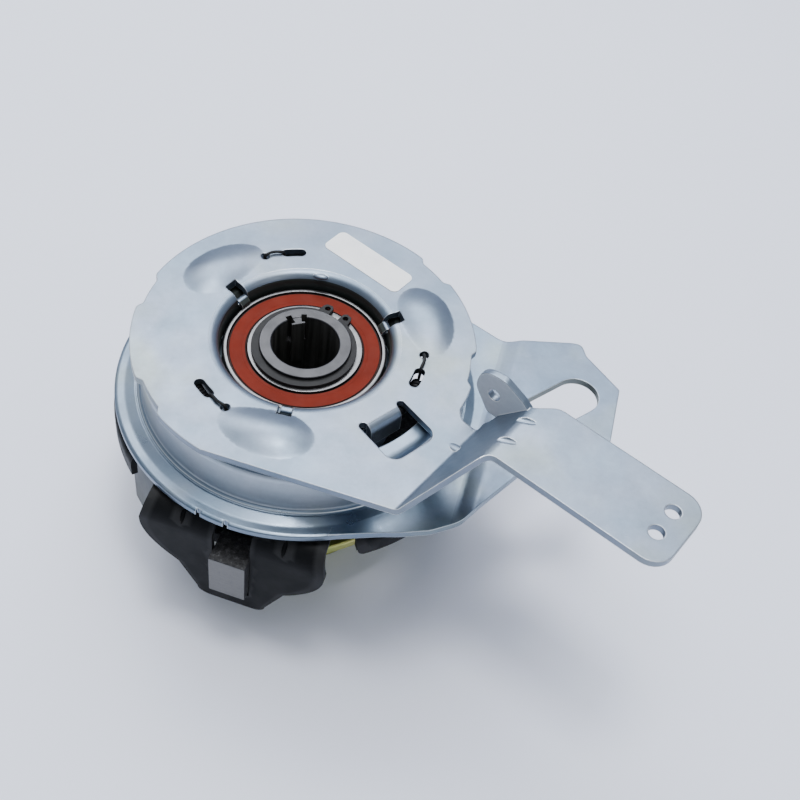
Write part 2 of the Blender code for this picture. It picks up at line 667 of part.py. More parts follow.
def build_legs():
    """Three bent straps that tie the basket to the pulley's flange, with a screw in each foot."""
    thickness = 3.0
    top = BASKET_TOP - 2.5 - GAP
    low = FLANGE_BOTTOM - GAP - thickness
    out = LEG_R
    section = [
        (59.6, top), (out - 3, top), (out - 0.8, top - 0.8), (out, top - 3), (out, low + 3),
        (out - 0.8, low + 0.8), (out - 3, low), (41.5, low), (41.5, low + thickness),
        (out - 4.5, low + thickness), (out - thickness, low + 4.5), (out - thickness, top - 4.5),
        (out - 4.5, top - thickness), (59.6, top - thickness),
    ]
    for i, angle in enumerate(LEG_ANGLES):
        leg = section_bar(f"basket_leg_{i + 1}", section, 10.0, angle, ZINC)
        place = polar(SCREW_R, angle)
        cut(leg, rod(f"leg_hole_{i}", 3.4, place, low - 2, low + thickness + 2, 12))
        head = rod(f"leg_screw_{i + 1}", 4.6, place, low - GAP - 3.5, low - GAP, 6, BLACK_STEEL)
        join(head, rod(f"leg_screw_shank_{i}", 2.7, place, low - GAP - 1.0, FLANGE_TOP - 1.2, 12))


def build_friction_disc():
    key_room = [
        (HUB_R - 1, PLATE_BOTTOM - 9), (HUB_R + 3.2, PLATE_BOTTOM - 9),
        (HUB_R + 3.2, PLATE_BOTTOM + 1), (HUB_R - 1, PLATE_BOTTOM + 1),
    ]
    disc = ring("friction_disc", HUB_R + 0.4, 42.5, PLATE_BOTTOM - 4.9, PLATE_BOTTOM - 2.9, 32, STEEL)
    cut(disc, section_bar("friction_disc_keyway", key_room, 3.4, 0.0))
    ring("upper_lining", 25.0, 42.0, PLATE_BOTTOM - 2.6, PLATE_BOTTOM - 0.8, 32, LINING)
    ring("lower_lining", 25.0, 42.0, PLATE_BOTTOM - 7.0, PLATE_BOTTOM - 5.2, 32, LINING)


def build_release_springs():
    wire = 0.45
    coil = 2.3
    low, high = FLANGE_TOP + GAP + wire, PLATE_BOTTOM - GAP - wire
    turns, per_turn = 3, 8
    for i, angle in enumerate(RELEASE_SPRING_ANGLES):
        x, y = polar(SCREW_R, angle)
        path = []
        for k in range(turns * per_turn + 1):
            dx, dy = polar(coil, 360 * k / per_turn)
            path.append(Vector((x + dx, y + dy, low + (high - low) * k / (turns * per_turn))))
        new_object(f"release_spring_{i + 1}", tube_mesh(path, [wire] * len(path), 5), BLACK_STEEL)


def build_pulley():
    """The output: a friction flange above a V groove, bored for the two pulley bearings."""
    profile = [
        (HUB_R + 0.6, FLANGE_TOP - 2.5), (21.0, FLANGE_TOP - 2.5), (23.0, FLANGE_TOP),
        (FLANGE_R - 0.8, FLANGE_TOP), (FLANGE_R, FLANGE_TOP - 0.8),
        (FLANGE_R, FLANGE_BOTTOM + 0.8), (FLANGE_R - 0.8, FLANGE_BOTTOM),
        (33.0, FLANGE_BOTTOM), (33.0, 19.0), (34.0, 18.0), (SHEAVE_R, 17.6), (SHEAVE_R, 16.0), (28.0, 11.2),
        (28.0, 6.6), (SHEAVE_R, 1.8), (SHEAVE_R, 0.0), (23.8, 0.0), (23.8, 11.0),
        (22.0, 11.0), (22.0, 16.7), (23.8, 16.7), (23.8, 24.3), (HUB_R + 0.6, 24.3),
    ]
    pulley = lathe("pulley", profile, 40, YELLOW_ZINC)
    for i, angle in enumerate(LEG_ANGLES):
        spot = polar(SCREW_R, angle)
        cut(pulley, rod(f"flange_hole_{i}", 3.0, spot, FLANGE_BOTTOM - 3, FLANGE_TOP + 3, 12))


clear_scene()
build_hub()
build_circlip("top_circlip", TOP - 5.8, TOP - 4.3, 64.0)
build_circlip("bottom_circlip", 1.1, 2.5, 64.0)
build_bearings()
build_cam_plate()
build_label()
build_cam_balls()
build_return_springs()
build_torque_plate()
build_pressure_plate()
build_basket()
build_legs()
build_friction_disc()
build_release_springs()
build_pulley()
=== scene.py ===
"""Looks for the ball-ramp clutch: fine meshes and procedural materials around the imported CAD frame.

Lengths are in millimetres and angles in degrees; the mesh helpers turn them into metres.
Azimuths are counted counter-clockwise from +X, seen from above.
"""

import json
import math

import bmesh
import bpy
from mathutils import Matrix, Vector


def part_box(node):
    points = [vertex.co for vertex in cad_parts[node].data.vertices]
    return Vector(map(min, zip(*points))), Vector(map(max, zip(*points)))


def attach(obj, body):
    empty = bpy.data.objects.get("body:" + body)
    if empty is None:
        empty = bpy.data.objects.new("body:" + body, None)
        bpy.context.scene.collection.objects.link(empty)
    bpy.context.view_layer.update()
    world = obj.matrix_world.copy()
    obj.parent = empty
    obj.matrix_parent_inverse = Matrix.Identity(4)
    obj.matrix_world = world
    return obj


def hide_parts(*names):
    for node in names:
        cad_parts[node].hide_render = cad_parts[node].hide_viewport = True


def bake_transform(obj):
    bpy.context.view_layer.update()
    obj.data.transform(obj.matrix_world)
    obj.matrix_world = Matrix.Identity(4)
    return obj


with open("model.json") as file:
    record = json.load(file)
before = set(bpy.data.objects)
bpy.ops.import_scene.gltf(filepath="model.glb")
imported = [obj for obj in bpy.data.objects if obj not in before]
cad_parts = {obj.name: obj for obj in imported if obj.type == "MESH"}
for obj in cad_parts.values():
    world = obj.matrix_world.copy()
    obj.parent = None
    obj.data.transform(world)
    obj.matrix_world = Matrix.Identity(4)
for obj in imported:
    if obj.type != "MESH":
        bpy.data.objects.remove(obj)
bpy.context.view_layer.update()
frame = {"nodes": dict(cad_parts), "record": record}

MM = 0.001
SINK = 0.05
SHEET = 3.0

# Heights come from the frame.
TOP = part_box("blank_label")[0].z / MM - 0.2
HUB_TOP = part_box("hub")[1].z / MM
HUB_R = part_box("hub")[1].x / MM
BEARING_LOW, BEARING_TOP = (corner.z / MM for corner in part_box("upper_bearing_outer_ring"))
BEARING_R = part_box("upper_bearing_outer_ring")[1].x / MM
BASKET_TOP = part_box("basket")[1].z / MM
FLANGE_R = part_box("pulley")[1].x / MM
PULLEY_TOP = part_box("pulley")[1].z / MM

BORE_R = 12.7
RIM_TOP = TOP - 25.7
LAND_TOP = TOP - 5.0
CAM_PLATE_R = 64.5
DRUM_R = 61.5
RIM_R = 71.8
SPRING_R = 44.8
SPRING_HOLES = (1.1, 121.1, 241.1)
BALL_ORBIT_R = 47.5
BALL_ANGLES = (31.5, 151.5, 271.5)
BOSS_MIDDLES = (22.5, 142.5, 262.5)
HOOK_ANGLES = (28.5, 148.5, 268.5)
LEVER_ANGLE = -31.4
LEVER_RISE = 16.0
LEVER_END = 155.92
EAR_SIDE = 19.2
BEND_START, BEND_END = 73.5, 87.0
WINDOW_ANGLE = -42.8
WINDOW_CHORD = 45.4
ARM_CREASE_ANGLE = -7.5
TAB_ANGLES = (-100.3, 19.7, 139.7)
TAB_WIDEST = (36.0, 25.0, 25.0)
TAB_DISTANCE = 72.0
WALL_END = -20.5
WALL_SWEEP = 43.1
LEG_ANGLES = (-141.0, -11.0, 99.0)
SCREW_R = 46.5
WALL_LOW = TOP - 41.5
LUG_HALF = 7.1
WIDE = 110.0
CLIP_GAP_ANGLE = 64.0
THROUGH = (TOP - 10, TOP + 5)

COOL_LIGHT = (0.95, 0.975, 1.0)


# ---------------------------------------------------------------- materials

def set_stops(elements, stops):
    """Gives a colour ramp its stops of (position, colour)."""
    while len(elements) < len(stops):
        elements.new(0.5)
    for element, (position, colour) in zip(elements, stops):
        element.position = position
        element.color = (*colour, 1)


class Look:
    """Builds one node material around a Principled shader."""

    def __init__(self, name, metallic, roughness, colour=(0.5, 0.5, 0.5), specular=0.5):
        self.material = bpy.data.materials.new(name)
        self.material.use_nodes = True
        self.tree = self.material.node_tree
        self.shader = self.tree.nodes["Principled BSDF"]
        self.shader.inputs["Metallic"].default_value = metallic
        self.shader.inputs["Roughness"].default_value = roughness
        self.shader.inputs["Base Color"].default_value = (*colour, 1)
        self.shader.inputs["Specular IOR Level"].default_value = specular
        self.place = self.tree.nodes.new("ShaderNodeTexCoord").outputs["Object"]

    def node(self, kind, **values):
        made = self.tree.nodes.new(kind)
        for key, value in values.items():
            if hasattr(made, key):
                setattr(made, key, value)
            else:
                made.inputs[key.replace("_", " ")].default_value = value
        return made

    def link(self, out, into):
        self.tree.links.new(out, into)

    def noise(self, scale, detail=4.0, roughness=0.55, stretch=None, source=None, distortion=0.0):
        made = self.node("ShaderNodeTexNoise")
        made.inputs["Scale"].default_value = scale
        made.inputs["Detail"].default_value = detail
        made.inputs["Roughness"].default_value = roughness
        made.inputs["Distortion"].default_value = distortion
        source = source or self.place
        if stretch:
            mapping = self.node("ShaderNodeMapping")
            mapping.inputs["Scale"].default_value = stretch
            self.link(source, mapping.inputs["Vector"])
            source = mapping.outputs["Vector"]
        self.link(source, made.inputs["Vector"])
        return made.outputs["Fac"]

    def ramp(self, source, stops):
        made = self.node("ShaderNodeValToRGB")
        set_stops(made.color_ramp.elements, stops)
        self.link(source, made.inputs["Fac"])
        return made.outputs["Color"]

    def span(self, source, low, high, out_low, out_high):
        made = self.node("ShaderNodeMapRange")
        for key, value in zip(("From Min", "From Max", "To Min", "To Max"), (low, high, out_low, out_high)):
            made.inputs[key].default_value = value
        self.link(source, made.inputs["Value"])
        return made.outputs["Result"]

    def mix(self, factor, one, two, blend="MIX"):
        made = self.node("ShaderNodeMix")
        made.data_type = "RGBA"
        made.blend_type = blend
        if isinstance(factor, float):
            made.inputs["Factor"].default_value = factor
        else:
            self.link(factor, made.inputs["Factor"])
        for value, socket in ((one, made.inputs["A"]), (two, made.inputs["B"])):
            if isinstance(value, tuple):
                socket.default_value = (*value, 1)
            else:
                self.link(value, socket)
        return made.outputs["Result"]

    def math(self, operation, one, two=0.0):
        made = self.node("ShaderNodeMath")
        made.operation = operation
        for value, socket in zip((one, two), made.inputs):
            if isinstance(value, (int, float)):
                socket.default_value = value
            else:
                self.link(value, socket)
        return made.outputs["Value"]

    def edges(self, low=0.515, high=0.56):
        """1 on sharp edges, from the geometry's pointiness, and 0 elsewhere: worn edges on the black
        finishes, a painted highlight on the yellow zinc.
        """
        made = self.node("ShaderNodeNewGeometry")
        return self.span(made.outputs["Pointiness"], low, high, 0.0, 1.0)

    def rolled(self, width):
        """A rounded edge that many millimetres wide: its normal, and 1 where the rounding is strong."""
        soft = self.node("ShaderNodeBevel")
        soft.samples = 8
        soft.inputs["Radius"].default_value = width * MM
        plain = self.node("ShaderNodeNewGeometry")
        dot = self.node("ShaderNodeVectorMath")
        dot.operation = "DOT_PRODUCT"
        self.link(soft.outputs["Normal"], dot.inputs[0])
        self.link(plain.outputs["Normal"], dot.inputs[1])
        return soft.outputs["Normal"], self.span(dot.outputs["Value"], 0.99, 0.86, 0.0, 1.0)

    def radius(self):
        """The distance from the hub's axis in metres."""
        split = self.node("ShaderNodeSeparateXYZ")
        self.link(self.place, split.inputs["Vector"])
        x2 = self.math("MULTIPLY", split.outputs["X"], split.outputs["X"])
        y2 = self.math("MULTIPLY", split.outputs["Y"], split.outputs["Y"])
        return self.math("SQRT", self.math("ADD", x2, y2)), split.outputs["Z"]

    def turned(self, spacing):
        """Fine turning marks: noise that changes only with radius and height."""
        radius, height = self.radius()
        join = self.node("ShaderNodeCombineXYZ")
        self.link(radius, join.inputs["X"])
        self.link(height, join.inputs["Y"])
        return self.noise(1.0 / (spacing * MM), 2.0, 0.6, source=join.outputs["Vector"])

    def bump(self, *layers, normal=None):
        """Layers of (height source, strength, distance in mm), the first at the bottom."""
        for source, strength, distance in layers:
            made = self.node("ShaderNodeBump")
            made.inputs["Strength"].default_value = strength
            made.inputs["Distance"].default_value = distance * MM
            self.link(source, made.inputs["Height"])
            if normal:
                self.link(normal, made.inputs["Normal"])
            normal = made.outputs["Normal"]
        self.link(normal, self.shader.inputs["Normal"])

    def colour(self, source):
        self.link(source, self.shader.inputs["Base Color"])

    def rough(self, source):
        self.link(source, self.shader.inputs["Roughness"])


def zinc_look(name, tint=(1.0, 1.0, 1.0), rough=(0.30, 0.46), metallic=0.92):
    """Bright zinc plate on rolled sheet: cloudy blue and straw tints, scuffs and a painted highlight along
    rounded edges.
    """
    look = Look(name, metallic, 0.36)
    cloud = look.noise(26.0, 3.0, 0.5, distortion=0.4)
    blue, pale, straw = (0.172, 0.222, 0.285), (0.205, 0.245, 0.305), (0.222, 0.257, 0.27)
    tones = [tuple(c * t for c, t in zip(tone, tint)) for tone in (blue, pale, straw)]
    base = look.ramp(cloud, [(0.36, tones[0]), (0.52, tones[1]), (0.68, tones[2])])
    spangle = look.noise(420.0, 3.0, 0.7)
    grain = look.ramp(spangle, [(0.35, (0.86, 0.86, 0.87)), (0.65, (1.0, 1.0, 1.0))])
    shade = look.mix(0.55, base, grain, "MULTIPLY")
    scuffs = look.span(look.noise(95.0, 6.0, 0.75, stretch=(1.0, 5.0, 1.0)), 0.66, 0.72, 0.0, 0.3)
    shade = look.mix(scuffs, shade, (0.45, 0.47, 0.49))
    # Painted highlight: where the rounding is strong the colour turns lighter, standing in for the bright
    # line of light along rolled edges.
    normal, edge = look.rolled(0.65)
    bright = tuple(min(1.0, c * t) for c, t in zip((0.80, 0.84, 0.88), tint))
    shade = look.mix(look.math("MULTIPLY", edge, 0.85), shade, bright)
    look.colour(shade)
    look.rough(look.span(look.noise(60.0, 5.0, 0.65), 0.3, 0.7, rough[0], rough[1]))
    dents = look.noise(38.0, 2.0, 0.4)
    fine = look.noise(900.0, 3.0, 0.6)
    look.bump((dents, 0.25, 0.9), (fine, 0.16, 0.12), normal=normal)
    return look.material


def steel_look(name, tone=(0.46, 0.45, 0.44), rough=0.30, spacing=0.25):
    """Turned or ground steel with marks round the axis and faint staining."""
    look = Look(name, 1.0, rough)
    stain = look.noise(140.0, 4.0, 0.6)
    dark = tuple(c * 0.72 for c in tone)
    marks = look.turned(spacing)
    base = look.ramp(stain, [(0.35, dark), (0.6, tone)])
    bright = tuple(min(1, c * 1.35) for c in tone)
    look.colour(look.mix(look.span(marks, 0.4, 0.6, 0.0, 0.35), base, bright))
    look.rough(look.span(marks, 0.35, 0.65, rough - 0.06, rough + 0.14))
    look.bump((marks, 0.35, 0.05), (look.noise(1100.0, 2.0), 0.12, 0.03))
    return look.material


def bore_and_shade_look(name):
    """A broached bore: dark oiled steel with streaks along the axis; the hub's outer wall gets it too, as
    painted shade.
    """
    look = Look(name, 0.35, 0.5)
    streaks = look.noise(420.0, 3.0, 0.7, stretch=(1.0, 1.0, 0.03))
    look.colour(look.ramp(streaks, [(0.35, (0.020, 0.020, 0.018)), (0.7, (0.085, 0.083, 0.078))]))
    look.rough(look.span(streaks, 0.3, 0.7, 0.4, 0.62))
    look.bump((streaks, 0.4, 0.1))
    return look.material


def black_oxide_look(name):
    """Oil-blacked spring steel, brighter where it rubs."""
    look = Look(name, 0.2, 0.42, specular=0.2)
    patch = look.noise(300.0, 4.0, 0.6)
    base = look.ramp(patch, [(0.35, (0.003, 0.003, 0.0035)), (0.7, (0.010, 0.010, 0.011))])
    look.colour(look.mix(look.math("MULTIPLY", look.edges(), 0.1), base, (0.06, 0.06, 0.064)))
    look.rough(look.span(patch, 0.3, 0.7, 0.34, 0.52))
    look.bump((look.noise(1500.0, 2.0), 0.2, 0.03))
    return look.material


def black_paint_look(name):
    """Satin black coating with orange peel, dust and rubbed edges."""
    look = Look(name, 0.0, 0.5, specular=0.07)
    cloud = look.noise(55.0, 4.0, 0.6)
    base = look.ramp(cloud, [(0.3, (0.004, 0.0043, 0.0048)), (0.75, (0.009, 0.0096, 0.0105))])
    dust = look.span(look.noise(700.0, 2.0, 0.8), 0.74, 0.80, 0.0, 0.35)
    base = look.mix(dust, base, (0.07, 0.07, 0.07))
    look.colour(look.mix(look.math("MULTIPLY", look.edges(0.53, 0.6), 0.25), base, (0.07, 0.07, 0.072)))
    look.rough(look.span(look.noise(120.0, 4.0), 0.3, 0.7, 0.36, 0.52))
    look.bump((look.noise(420.0, 2.0, 0.5), 0.22, 0.12), (look.noise(60.0, 2.0), 0.12, 0.4))
    return look.material


def rubber_look(name):
    """Moulded orange-red seal with a fine matte skin and moulding rings."""
    look = Look(name, 0.0, 0.68, specular=0.08)
    cloud = look.noise(90.0, 4.0, 0.6)
    base = look.ramp(cloud, [(0.3, (0.115, 0.0125, 0.006)), (0.7, (0.150, 0.0165, 0.008))])
    specks = look.span(look.noise(1300.0, 2.0, 0.8), 0.70, 0.78, 0.0, 0.5)
    look.colour(look.mix(specks, base, (0.22, 0.06, 0.035)))
    look.rough(look.span(look.noise(200.0, 3.0), 0.3, 0.7, 0.5, 0.68))
    look.bump((look.turned(0.5), 0.22, 0.05), (look.noise(1800.0, 2.0), 0.25, 0.03))
    return look.material


# Painted shade: a dark copy of the seal rubber for its narrow edges against the races.
def seal_edge_shade_look(name):
    look = Look(name, 0.0, 0.7, specular=0.25)
    tone = look.noise(300.0, 3.0)
    look.colour(look.ramp(tone, [(0.3, (0.015, 0.006, 0.005)), (0.7, (0.035, 0.014, 0.011))]))
    look.bump((look.noise(1500.0, 2.0), 0.2, 0.03))
    return look.material


def cast_look(name):
    """Sintered iron, granular and dark."""
    look = Look(name, 0.55, 0.62)
    grain = look.noise(620.0, 5.0, 0.75)
    dark, middle, light = (0.014, 0.014, 0.015), (0.05, 0.05, 0.052), (0.16, 0.16, 0.165)
    look.colour(look.ramp(grain, [(0.35, dark), (0.55, middle), (0.75, light)]))
    look.rough(look.span(grain, 0.3, 0.7, 0.45, 0.78))
    look.bump((grain, 0.8, 0.5), (look.noise(160.0, 3.0), 0.4, 0.8))
    return look.material


def ground_look(name):
    """A ground face: grey with scratches across and small pits."""
    look = Look(name, 0.85, 0.45)
    scratch = look.noise(260.0, 4.0, 0.7, stretch=(1.0, 1.0, 9.0))
    pits = look.span(look.noise(900.0, 4.0, 0.7), 0.56, 0.66, 0.0, 1.0)
    base = look.ramp(scratch, [(0.3, (0.125, 0.123, 0.12)), (0.7, (0.20, 0.197, 0.19))])
    look.colour(look.mix(look.math("MULTIPLY", pits, 0.6), base, (0.12, 0.12, 0.125)))
    look.rough(look.span(scratch, 0.3, 0.7, 0.36, 0.58))
    look.bump((scratch, 0.3, 0.08), (pits, 0.3, -0.1))
    return look.material


def yellow_zinc_look(name):
    """Yellow passivated zinc: olive, gold and faint green clouds over turning marks, with a painted
    highlight on sharp edges.
    """
    look = Look(name, 0.8, 0.34)
    cloud = look.noise(45.0, 4.0, 0.55, distortion=0.8)
    green, olive, gold = (0.38, 0.44, 0.10), (0.52, 0.52, 0.15), (0.50, 0.44, 0.16)
    base = look.ramp(cloud, [(0.32, green), (0.5, olive), (0.7, gold)])
    # Painted highlight: sharp edges turn a lighter yellow.
    look.colour(look.mix(look.math("MULTIPLY", look.edges(), 0.4), base, (0.72, 0.70, 0.42)))
    look.rough(look.span(look.noise(150.0, 4.0), 0.3, 0.7, 0.26, 0.42))
    look.bump((look.turned(0.35), 0.3, 0.05), (look.noise(1000.0, 2.0), 0.12, 0.04))
    return look.material


def lining_look(name):
    """Pressed friction material with flecks of fibre and metal."""
    look = Look(name, 0.0, 0.85, specular=0.2)
    flecks = look.noise(700.0, 4.0, 0.8, stretch=(1.0, 3.0, 1.0))
    binder, fibre, metal = (0.03, 0.026, 0.022), (0.09, 0.075, 0.06), (0.3, 0.24, 0.15)
    look.colour(look.ramp(flecks, [(0.4, binder), (0.62, fibre), (0.72, metal)]))
    look.bump((flecks, 0.5, 0.15))
    return look.material


def label_look(name):
    """Glossy white film with a faint paper tone and rubbed spots."""
    look = Look(name, 0.0, 0.36, specular=0.5)
    tone = look.noise(120.0, 4.0)
    look.colour(look.ramp(tone, [(0.3, (0.80, 0.81, 0.83)), (0.7, (0.90, 0.90, 0.91))]))
    look.rough(look.span(look.noise(300.0, 3.0), 0.3, 0.7, 0.3, 0.45))
    look.bump((look.noise(60.0, 2.0), 0.15, 0.2), (look.noise(1500.0, 2.0), 0.08, 0.03))
    return look.material


def floor_look(name):
    look = Look(name, 0.0, 0.5, specular=0.25)
    tone = look.noise(3.0, 4.0)
    look.colour(look.ramp(tone, [(0.3, (0.80, 0.83, 0.95)), (0.7, (0.83, 0.86, 0.98))]))
    return look.material


ZINC = zinc_look("zinc_plate")
ZINC_LOW = zinc_look("zinc_plate_torque", (0.93, 0.98, 1.0), (0.26, 0.42), 0.95)
# Painted shade: a dark copy of the zinc for surfaces that lie in shade.
ZINC_PAINTED_SHADE = zinc_look("zinc_shaded_wall", (0.16, 0.16, 0.12), (0.4, 0.55), 0.6)
ZINC_CUT = zinc_look("zinc_cut_wall", (0.80, 0.74, 0.56), (0.4, 0.55), 0.7)
# Painted light: a much lighter, duller copy of the plate's zinc for the ear's faces.
ZINC_EAR_PAINTED_LIGHT = zinc_look("zinc_ear_painted_light", (3.6, 3.1, 2.7), (0.45, 0.6), 0.12)
# Painted reflection: a lighter copy of the zinc for the drum's side wall.
ZINC_WALL_PAINTED_REFLECTION = zinc_look("zinc_drum_wall_painted_reflection", (2.1, 1.95, 1.75), (0.26, 0.42), 0.6)
# Painted shade: a darker copy of the zinc for the torque arm's top.
ZINC_ARM_PAINTED_SHADE = zinc_look("zinc_arm_painted_shade", (0.80, 0.84, 0.88), (0.30, 0.46), 0.95)
LEG_ZINC = zinc_look("dull_zinc_leg", (0.5, 0.45, 0.38), (0.5, 0.65), 0.8)
STEEL = steel_look("turned_steel", (0.07, 0.07, 0.074), 0.38)
BORE_STEEL_AND_SHADE = bore_and_shade_look("broached_bore_and_painted_shade")
BEARING_STEEL = steel_look("ground_bearing_steel", (0.16, 0.16, 0.165), 0.28, 0.12)
BLACK_OXIDE = black_oxide_look("black_oxide")
BLACK_PAINT = black_paint_look("satin_black")
ORANGE_RUBBER = rubber_look("orange_seal_rubber")
SEAL_EDGE_SHADE = seal_edge_shade_look("seal_edge_painted_shade")
CAST = cast_look("sintered_iron")
GROUND = ground_look("ground_iron")
YELLOW_ZINC = yellow_zinc_look("yellow_zinc")
LINING = lining_look("friction_lining")
LABEL = label_look("label_film")


# ---------------------------------------------------------------- mesh helpers

def polar(radius, degrees, z=None):
    angle = math.radians(degrees)
    x = radius * math.cos(angle)
    y = radius * math.sin(angle)
    return (x, y) if z is None else (x, y, z)


def arc(radius, start, end, steps, centre=(0.0, 0.0)):
    points = []
    for i in range(steps + 1):
        x, y = polar(radius, start + (end - start) * i / steps)
        points.append((centre[0] + x, centre[1] + y))
    return points


def fillet(points, steps=6):
    """Rounds an outline; each point is (x, y) or (x, y, radius)."""
    out = []
    count = len(points)
    for i, point in enumerate(points):
        radius = point[2] if len(point) > 2 else 0.0
        here = Vector(point[:2])
        if radius <= 0:
            out.append(tuple(here))
            continue
        before = (Vector(points[i - 1][:2]) - here).normalized()
        after = (Vector(points[(i + 1) % count][:2]) - here).normalized()
        half = before.angle(after) / 2
        reach = radius / math.tan(half)
        centre = here + (before + after).normalized() * (radius / math.sin(half))
        first = here + before * reach - centre
        last = here + after * reach - centre
        sweep = first.angle_signed(last)
        for k in range(steps + 1):
            turn = -sweep * k / steps
            c, s = math.cos(turn), math.sin(turn)
            out.append((centre.x + c * first.x - s * first.y, centre.y + s * first.x + c * first.y))
    return out


def new_object(name, bm, look=None, smooth=32.0):
    bmesh.ops.remove_doubles(bm, verts=bm.verts, dist=0.0008)
    bmesh.ops.recalc_face_normals(bm, faces=bm.faces)
    if bm.calc_volume(signed=True) < 0:
        bmesh.ops.reverse_faces(bm, faces=bm.faces)
    bmesh.ops.scale(bm, verts=bm.verts, vec=Vector((MM, MM, MM)))
    mesh = bpy.data.meshes.new(name)
    bm.to_mesh(mesh)
    bm.free()
    mesh.shade_smooth()
    mesh.set_sharp_from_angle(angle=math.radians(smooth))
    obj = bpy.data.objects.new(name, mesh)
    bpy.context.scene.collection.objects.link(obj)
    if look:
        mesh.materials.append(look)
    return obj


def prism_mesh(outline, low, high):
    bm = bmesh.new()
    face = bm.faces.new([bm.verts.new((x, y, low)) for x, y in outline])
    raised = bmesh.ops.extrude_face_region(bm, geom=[face])["geom"]
    moved = [v for v in raised if isinstance(v, bmesh.types.BMVert)]
    bmesh.ops.translate(bm, verts=moved, vec=(0, 0, high - low))
    return bm


def prism(name, outline, low, high):
    return new_object(name, prism_mesh(outline, low, high))


def section_bar(name, section, half_width, angle, across=0.0):
    """A section in (distance along the azimuth, z), extruded sideways about the azimuth's line."""
    bm = prism_mesh(section, across - half_width, across + half_width)
    turn = Matrix(((1, 0, 0), (0, 0, -1), (0, 1, 0))).to_4x4()
    spin = Matrix.Rotation(math.radians(angle), 4, "Z")
    bmesh.ops.transform(bm, matrix=spin @ turn, verts=bm.verts)
    return new_object(name, bm)


def lathe(name, profile, steps=144, look=None):
    bm = bmesh.new()
    verts = [bm.verts.new((r, 0, z)) for r, z in profile]
    edges = [bm.edges.new((verts[i - 1], verts[i])) for i in range(len(verts))]
    bmesh.ops.spin(
        bm, geom=verts + edges, cent=(0, 0, 0), axis=(0, 0, 1),
        angle=math.tau, steps=steps, use_merge=True, use_duplicate=False,
    )
    return new_object(name, bm, look)


def ring(name, inner, outer, low, high, look, edge, steps):
    corners = [(inner, low, edge), (outer, low, edge), (outer, high, edge), (inner, high, edge)]
    return lathe(name, fillet(corners, 3), steps, look)


def rod(name, radius, centre, low, high, sides=40):
    return prism(name, arc(radius, 0, 360 - 360 / sides, sides - 1, centre), low, high)


def loft(loops):
    bm = bmesh.new()
    rows = [[bm.verts.new(p) for p in loop] for loop in loops]
    for low, high in zip(rows, rows[1:]):
        for i in range(len(low)):
            bm.faces.new((low[i - 1], low[i], high[i], high[i - 1]))
    bm.faces.new(list(reversed(rows[0])))
    bm.faces.new(rows[-1])
    return bm


def tube_mesh(path, radius, sides):
    loops = []
    side = None
    for i in range(len(path)):
        ahead = path[min(i + 1, len(path) - 1)] - path[max(i - 1, 0)]
        ahead.normalize()
        side = side or ahead.orthogonal().normalized()
        side = (side - ahead * side.dot(ahead)).normalized()
        up = ahead.cross(side)
        turns = [math.tau * j / sides for j in range(sides)]
        loops.append([path[i] + radius * (math.cos(t) * side + math.sin(t) * up) for t in turns])
    return loft(loops)


def modify(obj, tool, operation):
    change = obj.modifiers.new(tool.name, "BOOLEAN")
    change.operation = operation
    change.solver = "EXACT"
    change.object = tool
    tools.append(tool)


def cut(obj, tool):
    modify(obj, tool, "DIFFERENCE")


def join(obj, tool):
    modify(obj, tool, "UNION")


tools = []


def apply_changes(obj):
    bpy.context.view_layer.update()
    mesh = bpy.data.meshes.new_from_object(obj.evaluated_get(bpy.context.evaluated_depsgraph_get()))
    obj.modifiers.clear()
    obj.data = mesh


def soften(obj, bevel=0.0, segments=2, angle=38.0):
    """Applies the modifiers, rounds the edges and removes the tools."""
    if bevel:
        round_off = obj.modifiers.new("edges", "BEVEL")
        round_off.width = bevel * MM
        round_off.segments = segments
        round_off.limit_method = "ANGLE"
        round_off.angle_limit = math.radians(angle)
        round_off.use_clamp_overlap = True
        round_off.harden_normals = False
    apply_changes(obj)
    for tool in tools:
        bpy.data.objects.remove(tool, do_unlink=True)
    tools.clear()


def settle(obj, look, bevel=0.0, segments=2, angle=38.0, smooth=38.0):
    """Finishes the shape, then sets its look and shading."""
    soften(obj, bevel, segments, angle)
    mesh = obj.data
    mesh.materials.clear()
    mesh.materials.append(look)
    for polygon in mesh.polygons:
        polygon.material_index = 0
    mesh.shade_smooth()
    mesh.set_sharp_from_angle(angle=math.radians(smooth))
    flat = obj.modifiers.new("flat_faces", "WEIGHTED_NORMAL")
    flat.keep_sharp = True
    flat.weight = 60
    apply_changes(obj)


def place(obj, body, slot, *nodes):
    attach(obj, body)
    if nodes:
        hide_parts(*nodes)


def on_ear(c, n):
    """True on the two faces of the small ear, which get painted light."""
    along = c.xy.dot(Vector(polar(1.0, LEVER_ANGLE)))
    across = c.xy.dot(Vector(polar(1.0, LEVER_ANGLE + 90)))
    beside = abs(abs(across) - EAR_SIDE) < 2.2
    return 60 < along < 90 and beside and c.z > TOP + 1.0 and abs(n.z) < 0.3


def turn_of(point):
    return math.degrees(math.atan2(point.y, point.x))


def second_look(obj, look, test):
    """Gives the faces that pass the test another look; the test takes (centre in mm, normal)."""
    obj.data.materials.append(look)
    index = len(obj.data.materials) - 1
    for polygon in obj.data.polygons:
        if test(polygon.center / MM, polygon.normal):
            polygon.material_index = index


def lever_point(u, v):
    x, y = polar(u, LEVER_ANGLE)
    dx, dy = polar(v, LEVER_ANGLE + 90)
    return (x + dx, y + dy)


# ---------------------------------------------------------------- hub and bearings

